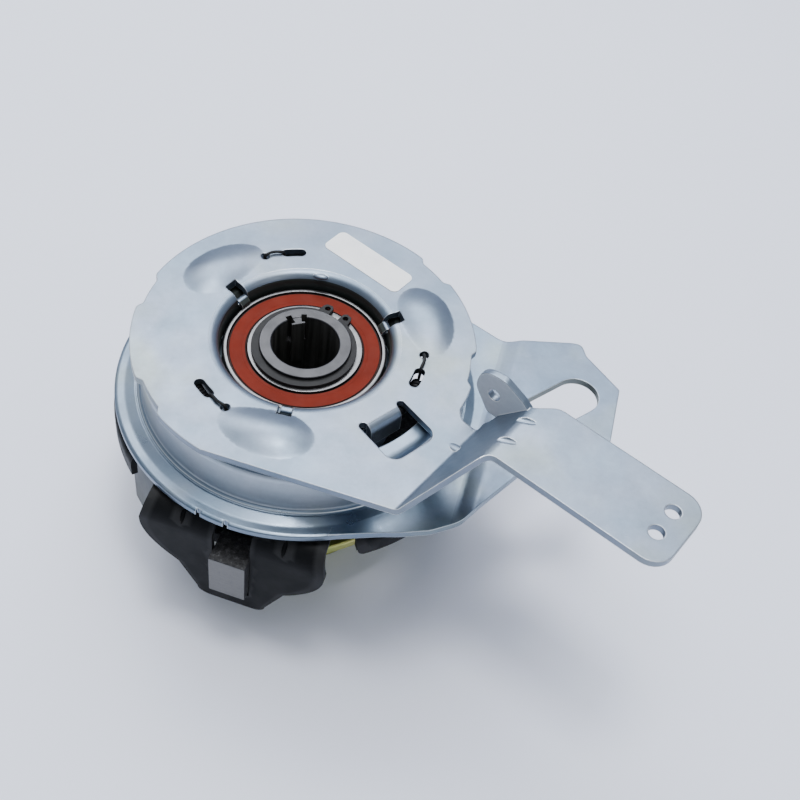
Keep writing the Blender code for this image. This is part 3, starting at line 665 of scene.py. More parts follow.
def build_hub():
    groove = HUB_R - 1.0
    corners = [
        (BORE_R, 0.0, 0.6), (HUB_R, 0.0, 0.6), (HUB_R, 0.9), (groove, 0.9), (groove, 2.7), (HUB_R, 2.7),
        (HUB_R, TOP - 6.0), (groove, TOP - 6.0), (groove, TOP - 4.1), (HUB_R, TOP - 4.1),
        (HUB_R, HUB_TOP, 0.45), (BORE_R, HUB_TOP, 0.7),
    ]
    hub = lathe("hub_sleeve", fillet(corners, 3), 160)
    key = [(9.9, HUB_TOP - 22), (14.5, HUB_TOP - 22), (14.5, HUB_TOP - 0.35), (9.9, HUB_TOP - 0.35)]
    join(hub, section_bar("key", key, 2.6, 115.0))
    for name, angle, half, depth in (("notch_a", 127.0, 1.15, 14.6), ("notch_b", 102.4, 1.0, 14.2)):
        notch = [(10.8, HUB_TOP - 12), (depth, HUB_TOP - 12), (depth, HUB_TOP + 1), (10.8, HUB_TOP + 1)]
        cut(hub, section_bar(name, notch, half, angle))
    settle(hub, STEEL, 0.15, 2)
    second_look(hub, BORE_STEEL_AND_SHADE, lambda c, n: c.xy.length < 14.9 and abs(n.z) < 0.4 and c.z < HUB_TOP - 0.8)
    # Painted shade: the hub's outer wall below its top edge gets the dark bore look, deepening its own dark
    # steel.
    second_look(hub, BORE_STEEL_AND_SHADE, lambda c, n: c.xy.length > HUB_R - 1.6 and abs(n.z) < 0.5
                and c.z < HUB_TOP - 1.0)
    place(hub, "hub", "steel", "hub")


def build_circlip(name, node, low, high, gap_angle):
    """A spring ring with two eared ends, each with a hole for pliers."""
    inner = HUB_R - 0.6
    lug_out = 23.0
    lug = ((18.8, 6.4), (lug_out - 1.2, 6.0), (lug_out, 8.6), (lug_out, 14.4), (lug_out - 1.2, 17.2))
    points = [polar(inner, gap_angle + 7.5)]
    points += [polar(radius, gap_angle + turn) for radius, turn in lug]
    for i in range(73):
        angle = gap_angle + 20.5 + 319 * i / 72
        points.append(polar(19.9 - 0.7 * math.cos(math.radians(angle - gap_angle)), angle))
    points += [polar(radius, gap_angle - turn) for radius, turn in reversed(lug)]
    points += arc(inner, gap_angle + 352.5, gap_angle + 7.5, 90)[:-1]
    clip = prism(name, points, low, high)
    for side in (-1, 1):
        centre = polar(20.9, gap_angle + side * 11.6)
        cut(clip, rod(f"{name}_eye_{side}", 1.05, centre, low - 1, high + 1, 20))
    settle(clip, BLACK_OXIDE, 0.18, 2)
    place(clip, "hub", "black_steel", node)


def build_upper_bearing():
    outer = lathe("bearing_outer_race", fillet([
        (29.2, BEARING_LOW, 0.3), (BEARING_R, BEARING_LOW, 1.0), (BEARING_R, BEARING_TOP, 0.9),
        (29.25, BEARING_TOP, 0.25), (29.2, BEARING_TOP - 1.5),
    ], 4), 160, BEARING_STEEL)
    place(outer, "bearing_housing", "steel", "upper_bearing_outer_ring")
    inner = lathe("bearing_inner_race", fillet([
        (HUB_R + 0.3, BEARING_LOW, 0.8), (21.7, BEARING_LOW, 0.3), (21.7, BEARING_TOP, 0.25),
        (HUB_R + 0.3, BEARING_TOP, 0.8),
    ], 4), 160, BEARING_STEEL)
    place(inner, "hub", "steel", "upper_bearing_inner_ring")
    for name, node, low, up in (
        ("seal_top", "upper_bearing_top_seal", BEARING_TOP - 1.5, 1),
        ("seal_bottom", "upper_bearing_bottom_seal", BEARING_LOW + 0.5, -1),
    ):
        middle = low + 0.5
        face = 0.5 * up
        profile = [
            (22.0, -1.0), (28.95, -1.0), (28.95, 0.1), (28.55, 0.25), (28.3, 1.0), (24.2, 1.0),
            (23.9, 0.82), (23.6, 1.0), (22.5, 1.0), (22.25, 0.3), (22.0, 0.1),
        ]
        seal = lathe(name, [(r, middle + face * step) for r, step in profile], 160, ORANGE_RUBBER)
        # Painted shade: the seal's edges next to the races are darkened.
        second_look(seal, SEAL_EDGE_SHADE, lambda c, n: not 22.4 < math.hypot(c.x, c.y) < 28.4)
        place(seal, "bearing_housing", "orange_seal", node)


# ---------------------------------------------------------------- cam plate

def plate_outline():
    points = []
    scallops = ((-1.5, 8.3), (46.0, 8.0), (171.0, 8.3), (218.5, 8.6))
    first, last = -20.2, 246.0
    steps = 300
    for i in range(steps + 1):
        angle = first + (last - first) * i / steps
        radius = CAM_PLATE_R
        for centre, reach in scallops:
            off = abs(angle - centre)
            if off < reach:
                rise = min(1.0, (reach - off) / 2.6)
                radius -= 2.0 * rise * rise * (3 - 2 * rise)
        points.append(polar(radius, angle))
    lever = [
        (74.4, -37.03, 1.2), (88.0, -7.2, 5.0), (LEVER_END, -6.94, 8.0), (LEVER_END, 25.5, 8.5),
        (94.5, 25.5, 6.5), (88.0, 19.4, 6.0), (76.5, 19.0, 1.2), (75.5, 15.3, 1.5), (73.5, 13.0, 1.5),
        (73.8, 9.0, 1.0), (66.6, 9.0, 5.0),
    ]
    anchor = [points[-1]] + [lever_point(u, v) + (r,) for u, v, r in lever] + [points[0]]
    return points + fillet(anchor, 7)[1:-1]


def bent_section(bend_low, bend_high, rise, start, end, top, inner_radius, thickness=SHEET, steps=7):
    """The (distance, z) section of a sheet with one rounded joggle up."""
    outer_radius = inner_radius + thickness
    slope = math.atan2(rise, bend_high - bend_low)
    shift = thickness * math.tan(slope / 2)
    low = top - thickness
    return fillet([
        (start, low), (bend_low + shift, low, outer_radius), (bend_high + shift, low + rise, inner_radius),
        (end, low + rise), (end, top + rise), (bend_high, top + rise, outer_radius),
        (bend_low, top, inner_radius), (start, top),
    ], steps)


def boss_mesh(middle):
    """A lens-shaped swelling over a ball groove, deepest towards its counter-clockwise end."""
    half_length, half_width, height, base = 18.4, 10.8, 3.0, -1.2
    across, along = 28, 52
    rows = []
    bm = bmesh.new()
    for i in range(along + 1):
        s = -1 + 2 * i / along
        row = []
        for j in range(across + 1):
            t = -1 + 2 * j / across
            shifted = (s - 0.22) / (0.78 if s > 0.22 else 1.22)
            inside = max(0.0, 1 - shifted * shifted - t * t)
            lift = inside ** 1.3
            angle = middle + math.degrees(s * half_length / BALL_ORBIT_R)
            radius = BALL_ORBIT_R + t * half_width
            row.append(bm.verts.new(polar(radius, angle, TOP - 0.06 + height * lift)))
        rows.append(row)
    under = [[bm.verts.new((v.co.x, v.co.y, TOP + base)) for v in row] for row in rows]
    for i in range(along):
        for j in range(across):
            bm.faces.new((rows[i][j], rows[i + 1][j], rows[i + 1][j + 1], rows[i][j + 1]))
            bm.faces.new((under[i][j], under[i][j + 1], under[i + 1][j + 1], under[i + 1][j]))
    for i in range(along):
        for j in (0, across):
            bm.faces.new((rows[i][j], rows[i + 1][j], under[i + 1][j], under[i][j]))
    for j in range(across):
        for i in (0, along):
            bm.faces.new((rows[i][j], rows[i][j + 1], under[i][j + 1], under[i][j]))
    return bm


def ellipsoid(name, centre, radii, angle, tilt=0.0, segments=32):
    bm = bmesh.new()
    bmesh.ops.create_uvsphere(bm, u_segments=segments, v_segments=segments // 2, radius=1.0)
    size = Matrix.Diagonal((*radii, 1.0))
    turn = Matrix.Rotation(math.radians(angle), 4, "Z") @ Matrix.Rotation(math.radians(-tilt), 4, "Y")
    bmesh.ops.transform(bm, matrix=Matrix.Translation(centre) @ turn @ size, verts=bm.verts)
    return new_object(name, bm)


def ramp_tube(name, start, step, height, rise, radius):
    """A tube along the ball circle, in ten steps of angle and height."""
    path = [Vector(polar(BALL_ORBIT_R, start + k * step, height + rise * k)) for k in range(11)]
    return new_object(name, tube_mesh(path, radius, 24))


def oblong(radius, start, end, half_width, steps=8):
    points = arc(radius + half_width, start, end, steps)
    points += arc(half_width, end, end + 180, 8, polar(radius, end))[1:-1]
    points += arc(radius - half_width, end, start, steps)
    points += arc(half_width, start + 180, start + 360, 8, polar(radius, start))[1:-1]
    return points


def turned_outline(outline, angle):
    out = []
    for distance, side in outline:
        x, y = polar(distance, angle)
        dx, dy = polar(side, angle + 90)
        out.append((x + dx, y + dy))
    return out


def build_cam_plate():
    ear = fillet([
        (76.4, TOP + 1.2), (71.3, TOP + 1, 3.0), (64.4, TOP + 10.5, 6.0), (65.2, TOP + 19.9, 6.5),
        (75.2, TOP + 21.16, 6.0), (84.0, TOP + 17.0, 2.5), (87.0, TOP + 14.6), (86.9, TOP + 13.9),
    ], 7)
    ear_plate = section_bar("ear", ear, 1.5, LEVER_ANGLE, across=-EAR_SIDE)
    soften(ear_plate, 0.4, 3, 50.0)
    plate = prism("cam_plate_and_lever", plate_outline(), TOP - 20, TOP + 40)
    section = bent_section(BEND_START, BEND_END, LEVER_RISE, -90.0, 170.0, TOP, 2.5)
    modify(plate, section_bar("sheet", section, WIDE, LEVER_ANGLE), "INTERSECT")
    cut(plate, rod("bore", 36.0, (0, 0), TOP - 10, TOP + 10, 160))
    lip = [(37.5, TOP - SHEET + SINK), (37.5, TOP - SINK)]
    lip += arc(4.0, 90, 172, 9, (36.2, TOP - SINK - 4.0))
    lip += [(32.05, TOP - 5.2), (32.05, TOP - 8.6), (32.4, TOP - 9.0)]
    lip += [(33.9, TOP - 9.0), (34.2, TOP - 8.6), (34.2, TOP - 5.0)]
    lip += arc(1.6, 175, 95, 5, (35.9, TOP - SHEET + SINK - 1.6))
    join(plate, lathe("lip", lip, 160))
    for i, middle in enumerate(BOSS_MIDDLES):
        join(plate, new_object(f"boss_{i}", boss_mesh(middle)))
    for i, angle in enumerate(BALL_ANGLES):
        cut(plate, ramp_tube(f"groove_{i}", angle - 11, 1.15, TOP - 4.0, 0.0, 5.45))
    for i, angle in enumerate(SPRING_HOLES):
        cut(plate, rod(f"spring_hole_{i}", 1.85, polar(SPRING_R, angle), *THROUGH, 24))
        cut(plate, prism(f"slot_{i}", oblong(SPRING_R, angle - 18.6, angle - 11.2, 2.0), *THROUGH))
    join(plate, ear_plate)
    eye = arc(2.65, 0, 350, 35, (72.5, TOP + 11.5))
    cut(plate, section_bar("ear_eye", eye, 4.0, LEVER_ANGLE, across=-EAR_SIDE))
    for i, v in enumerate((4.7, 15.5)):
        cut(plate, rod(f"cable_hole_{i}", 2.9, lever_point(147.0, v), TOP + 5, TOP + 25))
    for i, (u, v) in enumerate(((88.6, 12.6), (88.6, 1.0))):
        centre = (*lever_point(u, v), TOP + LEVER_RISE + 0.05)
        cut(plate, ellipsoid(f"gusset_{i}", centre, (5.4, 1.5, 1.1), LEVER_ANGLE + 22, 8))
    centre = (*lever_point(72.6, -2.6), TOP)
    join(plate, ellipsoid("gusset_low", centre, (3.6, 1.6, 0.7), LEVER_ANGLE, 10))
    join(plate, ellipsoid("lip_dent", (0.0, 33.1, TOP - 0.8), (3.0, 1.3, 1.0), 0.0))
    window = [(WINDOW_CHORD, -10.3)] + arc(4.5, -90, 0, 8, (59.6, -5.8))
    window += arc(4.5, 0, 90, 8, (59.6, 5.8)) + [(WINDOW_CHORD, 10.3)]
    cut(plate, prism("window", turned_outline(window, WINDOW_ANGLE), *THROUGH))
    for side in (-1, 1):
        spot = turned_outline([(WINDOW_CHORD - 0.1, side * 8.7)], WINDOW_ANGLE)[0]
        cut(plate, rod(f"relief_{side}", 1.6, spot, *THROUGH, 24))
    tab = fillet([
        (43.0, TOP - SINK), (48.4, TOP - SINK, 3.6), (48.4, TOP - 10), (45.6, TOP - 10),
        (45.6, TOP - SHEET + SINK, 0.8), (43.0, TOP - SHEET + SINK),
    ], 8)
    join(plate, section_bar("stop_tab", tab, 7.0, WINDOW_ANGLE))
    for i, angle in enumerate(HOOK_ANGLES):
        notch = [
            (30, TOP - 4.6), (34.3, TOP - 4.6), (34.3, TOP - 12),
            (38.8, TOP - 12), (38.8, TOP + 1.2), (30, TOP + 1.2),
        ]
        cut(plate, section_bar(f"notch_{i}", notch, 2.75, angle))
        hook = fillet([
            (34.15, TOP - 6.5), (34.15, TOP - 3.6, 1.0), (32.3, TOP - 2.9, 1.2), (30.3, TOP - 4.6, 0.7),
            (30.1, TOP - 5.8), (31.9, TOP - 5.8), (32.2, TOP - 6.5),
        ], 5)
        join(plate, section_bar(f"hook_{i}", hook, 2.1, angle))
    settle(plate, ZINC, 0.32, 3, 42.0)
    # Painted shade: the inner wall of the bore lip is darkened.
    second_look(plate, ZINC_PAINTED_SHADE, lambda c, n: c.xy.length < 34.0 and c.z < TOP - 2.3
                and (n.x * c.x + n.y * c.y) < -0.62 * c.xy.length)
    # Painted light: the ear's faces get the lighter zinc copy.
    second_look(plate, ZINC_EAR_PAINTED_LIGHT, on_ear)
    place(plate, "lever_plate", "zinc_plated_steel", "upper_cam_plate")


def build_label():
    half_length, half_width, corner = 18.75, 6.15, 2.6
    outline = []
    for sx, sy, start in ((1, 1, 0), (-1, 1, 90), (-1, -1, 180), (1, -1, 270)):
        centre = (sx * (half_length - corner), sy * (half_width - corner))
        outline += arc(corner, start, start + 90, 8, centre)
    label = prism("label_sticker", outline, TOP + 0.03, TOP + 0.2)
    turn = Matrix.Rotation(math.radians(-31.8), 4, "Z")
    label.data.transform(Matrix.Translation((17.0 * MM, 45.0 * MM, 0)) @ turn)
    settle(label, LABEL, 0.06, 2)
    place(label, "lever_plate", "label_film", "blank_label")


def smooth_path(knots, steps=5):
    """A Catmull-Rom curve through the knots, without the last one."""
    path = []
    last = len(knots) - 1
    for k in range(last):
        p0, p1, p2, p3 = (knots[min(max(k + d, 0), last)] for d in (-1, 0, 1, 2))
        for n in range(steps):
            t = n / steps
            square = (2 * p0 - 5 * p1 + 4 * p2 - p3) * t * t
            cube = (3 * p1 - p0 - 3 * p2 + p3) * t ** 3
            path.append(0.5 * ((2 * p1) + (p2 - p0) * t + square + cube))
    return path


def build_return_springs():
    """A hook through the slot, a coil along the spring circle and a tail into the torque plate."""
    wire, coil = 0.6, 1.85
    turns, per_turn = 11, 18
    for i, hole in enumerate(SPRING_HOLES):
        hook = (
            (0.0, 0.3, -5.2), (0.0, 0.3, -1.0), (0.0, -0.9, 0.75), (0.4, -4.5, 1.05), (0.0, -8.7, 0.8),
            (0.0, -9.9, -1.0), (0.0, -10.6, -3.4),
        )
        path = smooth_path([Vector(polar(SPRING_R + out, hole + turn, TOP + z)) for out, turn, z in hook])
        start, end = hole - 11.5, hole - 32.0
        for k in range(turns * per_turn + 1):
            part = k / (turns * per_turn)
            turn = math.tau * k / per_turn + math.pi / 2
            radius = SPRING_R + coil * math.cos(turn)
            height = TOP - 6.1 + coil * math.sin(turn)
            path.append(Vector(polar(radius, start + (end - start) * part, height)))
        tail = ((42.5, 2.5, 4.0), (39.7, 4.5, 4.2), (39.7, 4.8, 9.0))
        path += [Vector(polar(radius, end - turn, TOP - drop)) for radius, turn, drop in tail]
        spring = new_object(f"return_spring_wire_{i + 1}", tube_mesh(path, wire, 10), BLACK_OXIDE)
        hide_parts(f"return_spring_{i + 1}")
        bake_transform(spring)


# ---------------------------------------------------------------- torque plate

def build_torque_plate():
    """The drum and rim are turned; the arm is a bent sheet that grows out of the rim."""
    profile = fillet([
        (34.3, TOP - 39, 0.3), (34.3, TOP - 23.3), (31.4, TOP - 23.3), (31.4, TOP - 17, 0.4),
        (34.5, TOP - 17), (34.5, TOP - 7.4), (37.6, LAND_TOP, 1.2), (DRUM_R, LAND_TOP, 4.0),
        (DRUM_R, RIM_TOP + 1.4, 1.4), (62.6, RIM_TOP + 1.5, 0.8), (63.4, RIM_TOP + 1.0, 0.3),
        (64.0, RIM_TOP + 1.15, 0.3), (67.8, RIM_TOP - SINK, 4.0), (RIM_R - 1.2, RIM_TOP - SINK, 1.0),
        (RIM_R, RIM_TOP - 0.4, 0.6), (RIM_R, RIM_TOP - SHEET + SINK, 0.5),
        (58.5, RIM_TOP - SHEET + SINK, 4.0),
        (58.5, LAND_TOP - SHEET, 2.5), (SHEET + 34.5, LAND_TOP - SHEET, 1.5), (37.5, TOP - 39, 0.3),
    ], 5)
    drum = lathe("torque_plate_pressing", profile, 200)
    # The rim sags a little where it's away from the arm.
    for vertex in drum.data.vertices:
        x, y, z = vertex.co / MM
        radius = math.hypot(x, y)
        turn = abs((math.degrees(math.atan2(y, x)) + 7.0 + 180) % 360 - 180)
        share = min(1.0, max(0.0, (turn - 72.0) / 30.0))
        reach = min(1.0, max(0.0, (radius - 64.6) / 7.0))
        if z < RIM_TOP + 0.6:
            vertex.co.z -= 0.65 * share * share * (3 - 2 * share) * reach ** 1.6 * MM
    points = [
        (39.5, -63.3, 30), (46.6, -61.9, 20), (57.1, -58.9, 12), (68.1, -52.8, 10), (87.4, -27.9, 14),
        (98.5, -14.0, 4), (120.3, -14.0, 1.2), (121.6, -3.3, 1.2), (124.5, 21.0, 1.0), (110.6, 36.3, 3.0),
        (108.4, 42.4, 3.2), (104.0, 42.3, 2), (76.8, 38.1, 12),
    ]
    start, end = polar(RIM_R - 0.5, -72.5), polar(RIM_R - 0.5, 58.5)
    outline = [polar(67.5, -70.5), start] + points + [end, polar(67.5, 56.5)]
    outline = fillet(outline, 7) + arc(66.2, 54.0, -68.0, 60)
    arm = prism("torque_arm", outline, RIM_TOP - 15, RIM_TOP + 15)
    section = bent_section(71.6, 78.0, 2.0, -90.0, 150.0, RIM_TOP, 7.0)
    modify(arm, section_bar("torque_sheet", section, WIDE, ARM_CREASE_ANGLE), "INTERSECT")
    far, near = (107.5, 14.5), (94.5, 2.4)
    slot_angle = math.degrees(math.atan2(far[1] - near[1], far[0] - near[0]))
    slot = arc(8.7, slot_angle - 90, slot_angle + 90, 20, far)
    slot += arc(8.7, slot_angle + 90, slot_angle + 270, 20, near)
    cut(arm, prism("torque_slot", slot, RIM_TOP - 10, RIM_TOP + 10))
    soften(arm)
    join(drum, arm)
    for i, angle in enumerate(BALL_ANGLES):
        join(drum, ramp_tube(f"pocket_{i}", angle - 3, 1.8, TOP - 7.2, 0.15, 5.8))
        cut(drum, ramp_tube(f"pocket_groove_{i}", angle - 6, 2.2, TOP - 4.0, 0.15, 5.45))
    for i, hole in enumerate(SPRING_HOLES):
        sector = arc(48.4, hole - 35.5, hole + 11.0, 20) + arc(41.6, hole + 11.0, hole - 35.5, 20)
        cut(drum, prism(f"opening_{i}", sector, LAND_TOP - 8, LAND_TOP + 4))
        cut(drum, rod(f"anchor_{i}", 1.1, polar(39.8, hole - 36.8), LAND_TOP - 8, LAND_TOP + 4, 16))
    stop = arc(53.8, -55.0, -10.0, 24) + arc(44.6, -10.0, -55.0, 24)
    cut(drum, prism("stop_opening", stop, LAND_TOP - 8, LAND_TOP + 4))
    for i, (angle, reach) in enumerate(((-110.9, 71.2), (-102.1, 71.2), (-56.2, 80.0))):
        nick = arc(reach + 8, angle - 0.7, angle + 0.7, 3)
        nick += arc(reach - 0.7, angle + 0.7, angle - 0.7, 3)
        cut(drum, prism(f"edge_nick_{i}", nick, RIM_TOP - 10, RIM_TOP + 10))
    settle(drum, ZINC_LOW, 0.3, 2, 42.0)
    # Painted shade: the pressing inside the drum, under the cam plate and outside the stop window, is
    # darkened.
    second_look(drum, ZINC_PAINTED_SHADE, lambda c, n: c.xy.length < 57.0 and c.z > TOP - 16
                and not -62 < turn_of(c) < -24)
    # Painted reflection: the drum's side wall gets the lighter zinc copy.
    second_look(drum, ZINC_WALL_PAINTED_REFLECTION, lambda c, n: c.xy.length > 50 and abs(n.z) < 0.6
                and RIM_TOP + 2 < c.z < TOP - 5.5)
    # Painted shade: the torque arm's upward faces get the darker zinc copy.
    second_look(drum, ZINC_ARM_PAINTED_SHADE, lambda c, n: c.x > 70 and c.y > -40 and n.z > 0.4)
    second_look(drum, ZINC_CUT, lambda c, n: 80 < c.x < 117.5 and -8 < c.y < 25 and abs(n.z) < 0.3)
    place(drum, "torque_plate", "zinc_plated_steel", "torque_plate")


# ---------------------------------------------------------------- basket, pressure plate, legs

def tab_mesh(rows, angle, thickness=2.5, across=28):
    """A bent sheet tab: each row is (distance, z, half-width) on the sheet's outer face."""
    bm = bmesh.new()
    outer = []
    inner = []
    last = len(rows) - 1
    for i, (distance, z, half) in enumerate(rows):
        before = rows[max(i - 1, 0)]
        after = rows[min(i + 1, last)]
        along = Vector((after[0] - before[0], after[1] - before[1])).normalized()
        inside = (distance + thickness * along.y, z - thickness * along.x)
        sides = [-half + 2 * half * j / across for j in range(across + 1)]
        outer.append([bm.verts.new((distance, s, z)) for s in sides])
        inner.append([bm.verts.new((inside[0], s, inside[1])) for s in sides])
    for i in range(last):
        for j in range(across):
            bm.faces.new((outer[i][j], outer[i][j + 1], outer[i + 1][j + 1], outer[i + 1][j]))
            bm.faces.new((inner[i][j], inner[i + 1][j], inner[i + 1][j + 1], inner[i][j + 1]))
        for j in (0, across):
            bm.faces.new((outer[i][j], outer[i + 1][j], inner[i + 1][j], inner[i][j]))
    for i in (0, last):
        for j in range(across):
            bm.faces.new((outer[i][j], outer[i][j + 1], inner[i][j + 1], inner[i][j]))
    bmesh.ops.transform(bm, matrix=Matrix.Rotation(math.radians(angle), 4, "Z"), verts=bm.verts)
    return bm


def build_basket():
    wall, face, bend = 72.48, TAB_DISTANCE, 9.0
    cup = fillet([
        (58.6, BASKET_TOP - 2.5, 0.3), (wall - 2.5, BASKET_TOP - 2.5, 1.6), (wall - 2.5, WALL_LOW, 0.3),
        (wall, WALL_LOW, 0.5), (wall, BASKET_TOP, 4.0), (58.6, BASKET_TOP, 0.5),
    ], 5)
    basket = lathe("basket_pressing", cup, 180)
    for i in range(3):
        start = WALL_END + 120.0 * i
        end = start + 120.0 - WALL_SWEEP
        gap = arc(68.5, end, start, 24) + arc(wall + 4, start, end, 24)
        cut(basket, prism(f"gap_{i}", gap, TOP - 50, TOP - 28))
        patch = arc(wall + 4, end, end + 5.4, 4) + arc(66, end + 5.4, end, 4)
        corner = prism(f"corner_{i}", patch, TOP - 50, TOP - 37.2)
        keep = rod(f"keep_{i}", 4.2, (0, 0), 60, 80, 32)
        turn = Matrix.Rotation(math.radians(end), 4, "Z") @ Matrix.Rotation(math.radians(90), 4, "Y")
        spot = Vector(polar(4.6, end + 90, TOP - 37.3)) * MM
        keep.data.transform(Matrix.Translation(spot) @ turn)
        modify(corner, keep, "DIFFERENCE")
        cut(basket, corner)
    top = BASKET_TOP - SINK
    rows = [(59.2, top, 33.6), (face - bend, top, 34.0)]
    for distance, z in arc(bend, 81, 0, 9, (face - bend, top - bend)):
        rows.append((distance, z, 36.0 - 2.0 * (z - top + bend) / bend))
    for i in range(1, 13):
        part = i / 12
        rows.append((face, TOP - 41.0 - 20.6 * part, 36.0 - 15.0 * part ** 2.06))
    for i in range(1, 9):
        part = i / 8
        rows.append((face, TOP - 61.6 - 13.6 * part, 21.0 - 7.2 * part))
    for i in range(1, 9):
        turn = math.radians(90 * i / 8)
        rows.append((face, TOP - 75.2 - 3.8 * math.sin(turn), 13.8 - 5.4 * (1 - math.cos(turn))))
    for i, (angle, widest) in enumerate(zip(TAB_ANGLES, TAB_WIDEST)):
        limited = [(distance, z, min(half, widest)) for distance, z, half in rows]
        join(basket, new_object(f"tab_{i}", tab_mesh(limited, angle)))
        opening = fillet([(67.0, TOP - 70.6), (80, TOP - 70.6), (80, TOP - 29), (67.0, TOP - 29)])
        cut(basket, section_bar(f"opening_{i}", opening, LUG_HALF + 0.25, angle))
        for side in (-1, 1):
            x, y = polar(face - 2.4, angle)
            dx, dy = polar(side * 19.5, angle + 90)
            spot = (x + dx, y + dy, BASKET_TOP - 2.4)
            cut(basket, ellipsoid(f"bead_{i}_{side}", spot, (6.5, 1.0, 1.4), angle, -45))
    settle(basket, BLACK_PAINT, 0.3, 2, 40.0)
    place(basket, "output", "black_pressing", "basket")


def build_pressure_plate():
    profile = fillet([
        (HUB_R + 0.4, TOP - 60, 0.4), (50.0, TOP - 60, 0.6), (50.0, TOP - 50, 0.6),
        (26.0, TOP - 50, 1.0), (26.0, TOP - 38.9, 0.4), (19.7, TOP - 38.9), (19.7, TOP - 24.2, 0.3),
        (HUB_R + 0.4, TOP - 24.2, 0.3),
    ], 3)
    plate = lathe("pressure_plate_casting", profile, 120)
    section = fillet([
        (45.0, TOP - 59), (60.0, TOP - 59, 1.5), (60.0, TOP - 67.6, 0.8), (76.0, TOP - 67.6, 0.6),
        (76.0, TOP - 45.8, 0.9), (62.0, TOP - 45.8, 1.5), (60.0, TOP - 51, 1.5), (45.0, TOP - 51),
    ], 3)
    root = fillet([
        (45.0, TOP - 58.7), (61.5, TOP - 58.7, 1.2), (61.5, TOP - 51.3, 1.2), (45.0, TOP - 51.3),
    ], 3)
    for i, angle in enumerate(TAB_ANGLES):
        join(plate, section_bar(f"lug_root_{i}", root, 15.0, angle))
        join(plate, section_bar(f"drive_lug_{i}", section, LUG_HALF, angle))
    settle(plate, CAST, 0.35, 2, 42.0)
    faces = [Vector((*polar(1.0, angle), 0.0)) for angle in TAB_ANGLES]
    second_look(plate, GROUND, lambda c, n: c.xy.length > 74 and any(n.dot(f) > 0.9 for f in faces))
    place(plate, "pressure_plate", "sintered_iron", "pressure_plate")


def build_legs():
    thickness = 3.0
    top = BASKET_TOP - 2.8
    low = TOP - 72.0 - 0.3 - thickness
    out = 68.0
    section = fillet([
        (59.6, top), (out, top, 4.5), (out, low, 4.5), (41.5, low), (41.5, low + thickness),
        (out - thickness, low + thickness, 1.5), (out - thickness, top - thickness, 1.5),
        (59.6, top - thickness),
    ], 6)
    for i, angle in enumerate(LEG_ANGLES):
        spot = polar(SCREW_R, angle)
        leg = section_bar(f"leg_strap_{i + 1}", section, 10.0, angle)
        cut(leg, rod(f"leg_eye_{i}", 3.4, spot, low - 2, low + thickness + 2))
        settle(leg, LEG_ZINC, 0.4, 3, 42.0)
        place(leg, "output", "zinc_plated_steel", f"basket_leg_{i + 1}")
        head_low, head_top = low - 3.8, low - 0.3
        screw = rod(f"hex_screw_{i + 1}", 4.6, spot, head_low, head_top, 6)
        dome = ellipsoid(f"head_dome_{i}", (*spot, head_top - 0.4), (5.0, 5.0, 3.9), 0)
        modify(screw, dome, "INTERSECT")
        join(screw, rod(f"shank_{i}", 2.7, spot, head_top - 0.7, PULLEY_TOP - 1.2))
        settle(screw, BLACK_OXIDE, 0.12, 2)
        place(screw, "output", "black_steel", f"leg_screw_{i + 1}")


def build_pulley():
    profile = fillet([
        (HUB_R + 0.6, PULLEY_TOP - 2.5, 0.3), (21.0, PULLEY_TOP - 2.5), (23.0, PULLEY_TOP, 0.4),
        (FLANGE_R, PULLEY_TOP, 0.9), (FLANGE_R, TOP - 72, 0.9), (33.0, TOP - 72, 2.0), (33.0, 18.0, 1.2),
        (37.0, 17.6, 0.9), (37.0, 16.0, 0.6), (28.0, 11.2, 0.9), (28.0, 6.6, 0.9), (37.0, 1.8, 0.6),
        (37.0, 0.0, 0.9), (23.8, 0.0, 0.5), (23.8, 11.0), (22.0, 11.0), (22.0, 16.7), (23.8, 16.7),
        (23.8, 24.3), (HUB_R + 0.6, 24.3),
    ], 4)
    pulley = lathe("pulley_turning", profile, 160)
    for i, angle in enumerate(LEG_ANGLES):
        cut(pulley, rod(f"flange_hole_{i}", 3.0, polar(SCREW_R, angle), TOP - 75, PULLEY_TOP + 3))
    settle(pulley, YELLOW_ZINC)
    place(pulley, "output", "yellow_zinc", "pulley")


def build_release_springs():
    wire, coil = 0.5, 2.3
    for i in (1, 2, 3):
        low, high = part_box(f"release_spring_{i}")
        middle = (low + high) / 2 / MM
        bottom, top = low.z / MM + wire, high.z / MM - wire
        turns, per_turn = 4.5, 20
        steps = int(turns * per_turn)
        path = []
        for k in range(steps + 1):
            part = min(max((k / steps - 0.14) / 0.72, 0.0), 1.0)
            dx, dy = polar(coil, 360 * k / per_turn)
            path.append(Vector((middle.x + dx, middle.y + dy, bottom + (top - bottom) * part)))
        spring = new_object(f"release_spring_wire_{i}", tube_mesh(path, wire * 0.9, 10), BLACK_OXIDE)
        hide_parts(f"release_spring_{i}")
        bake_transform(spring)


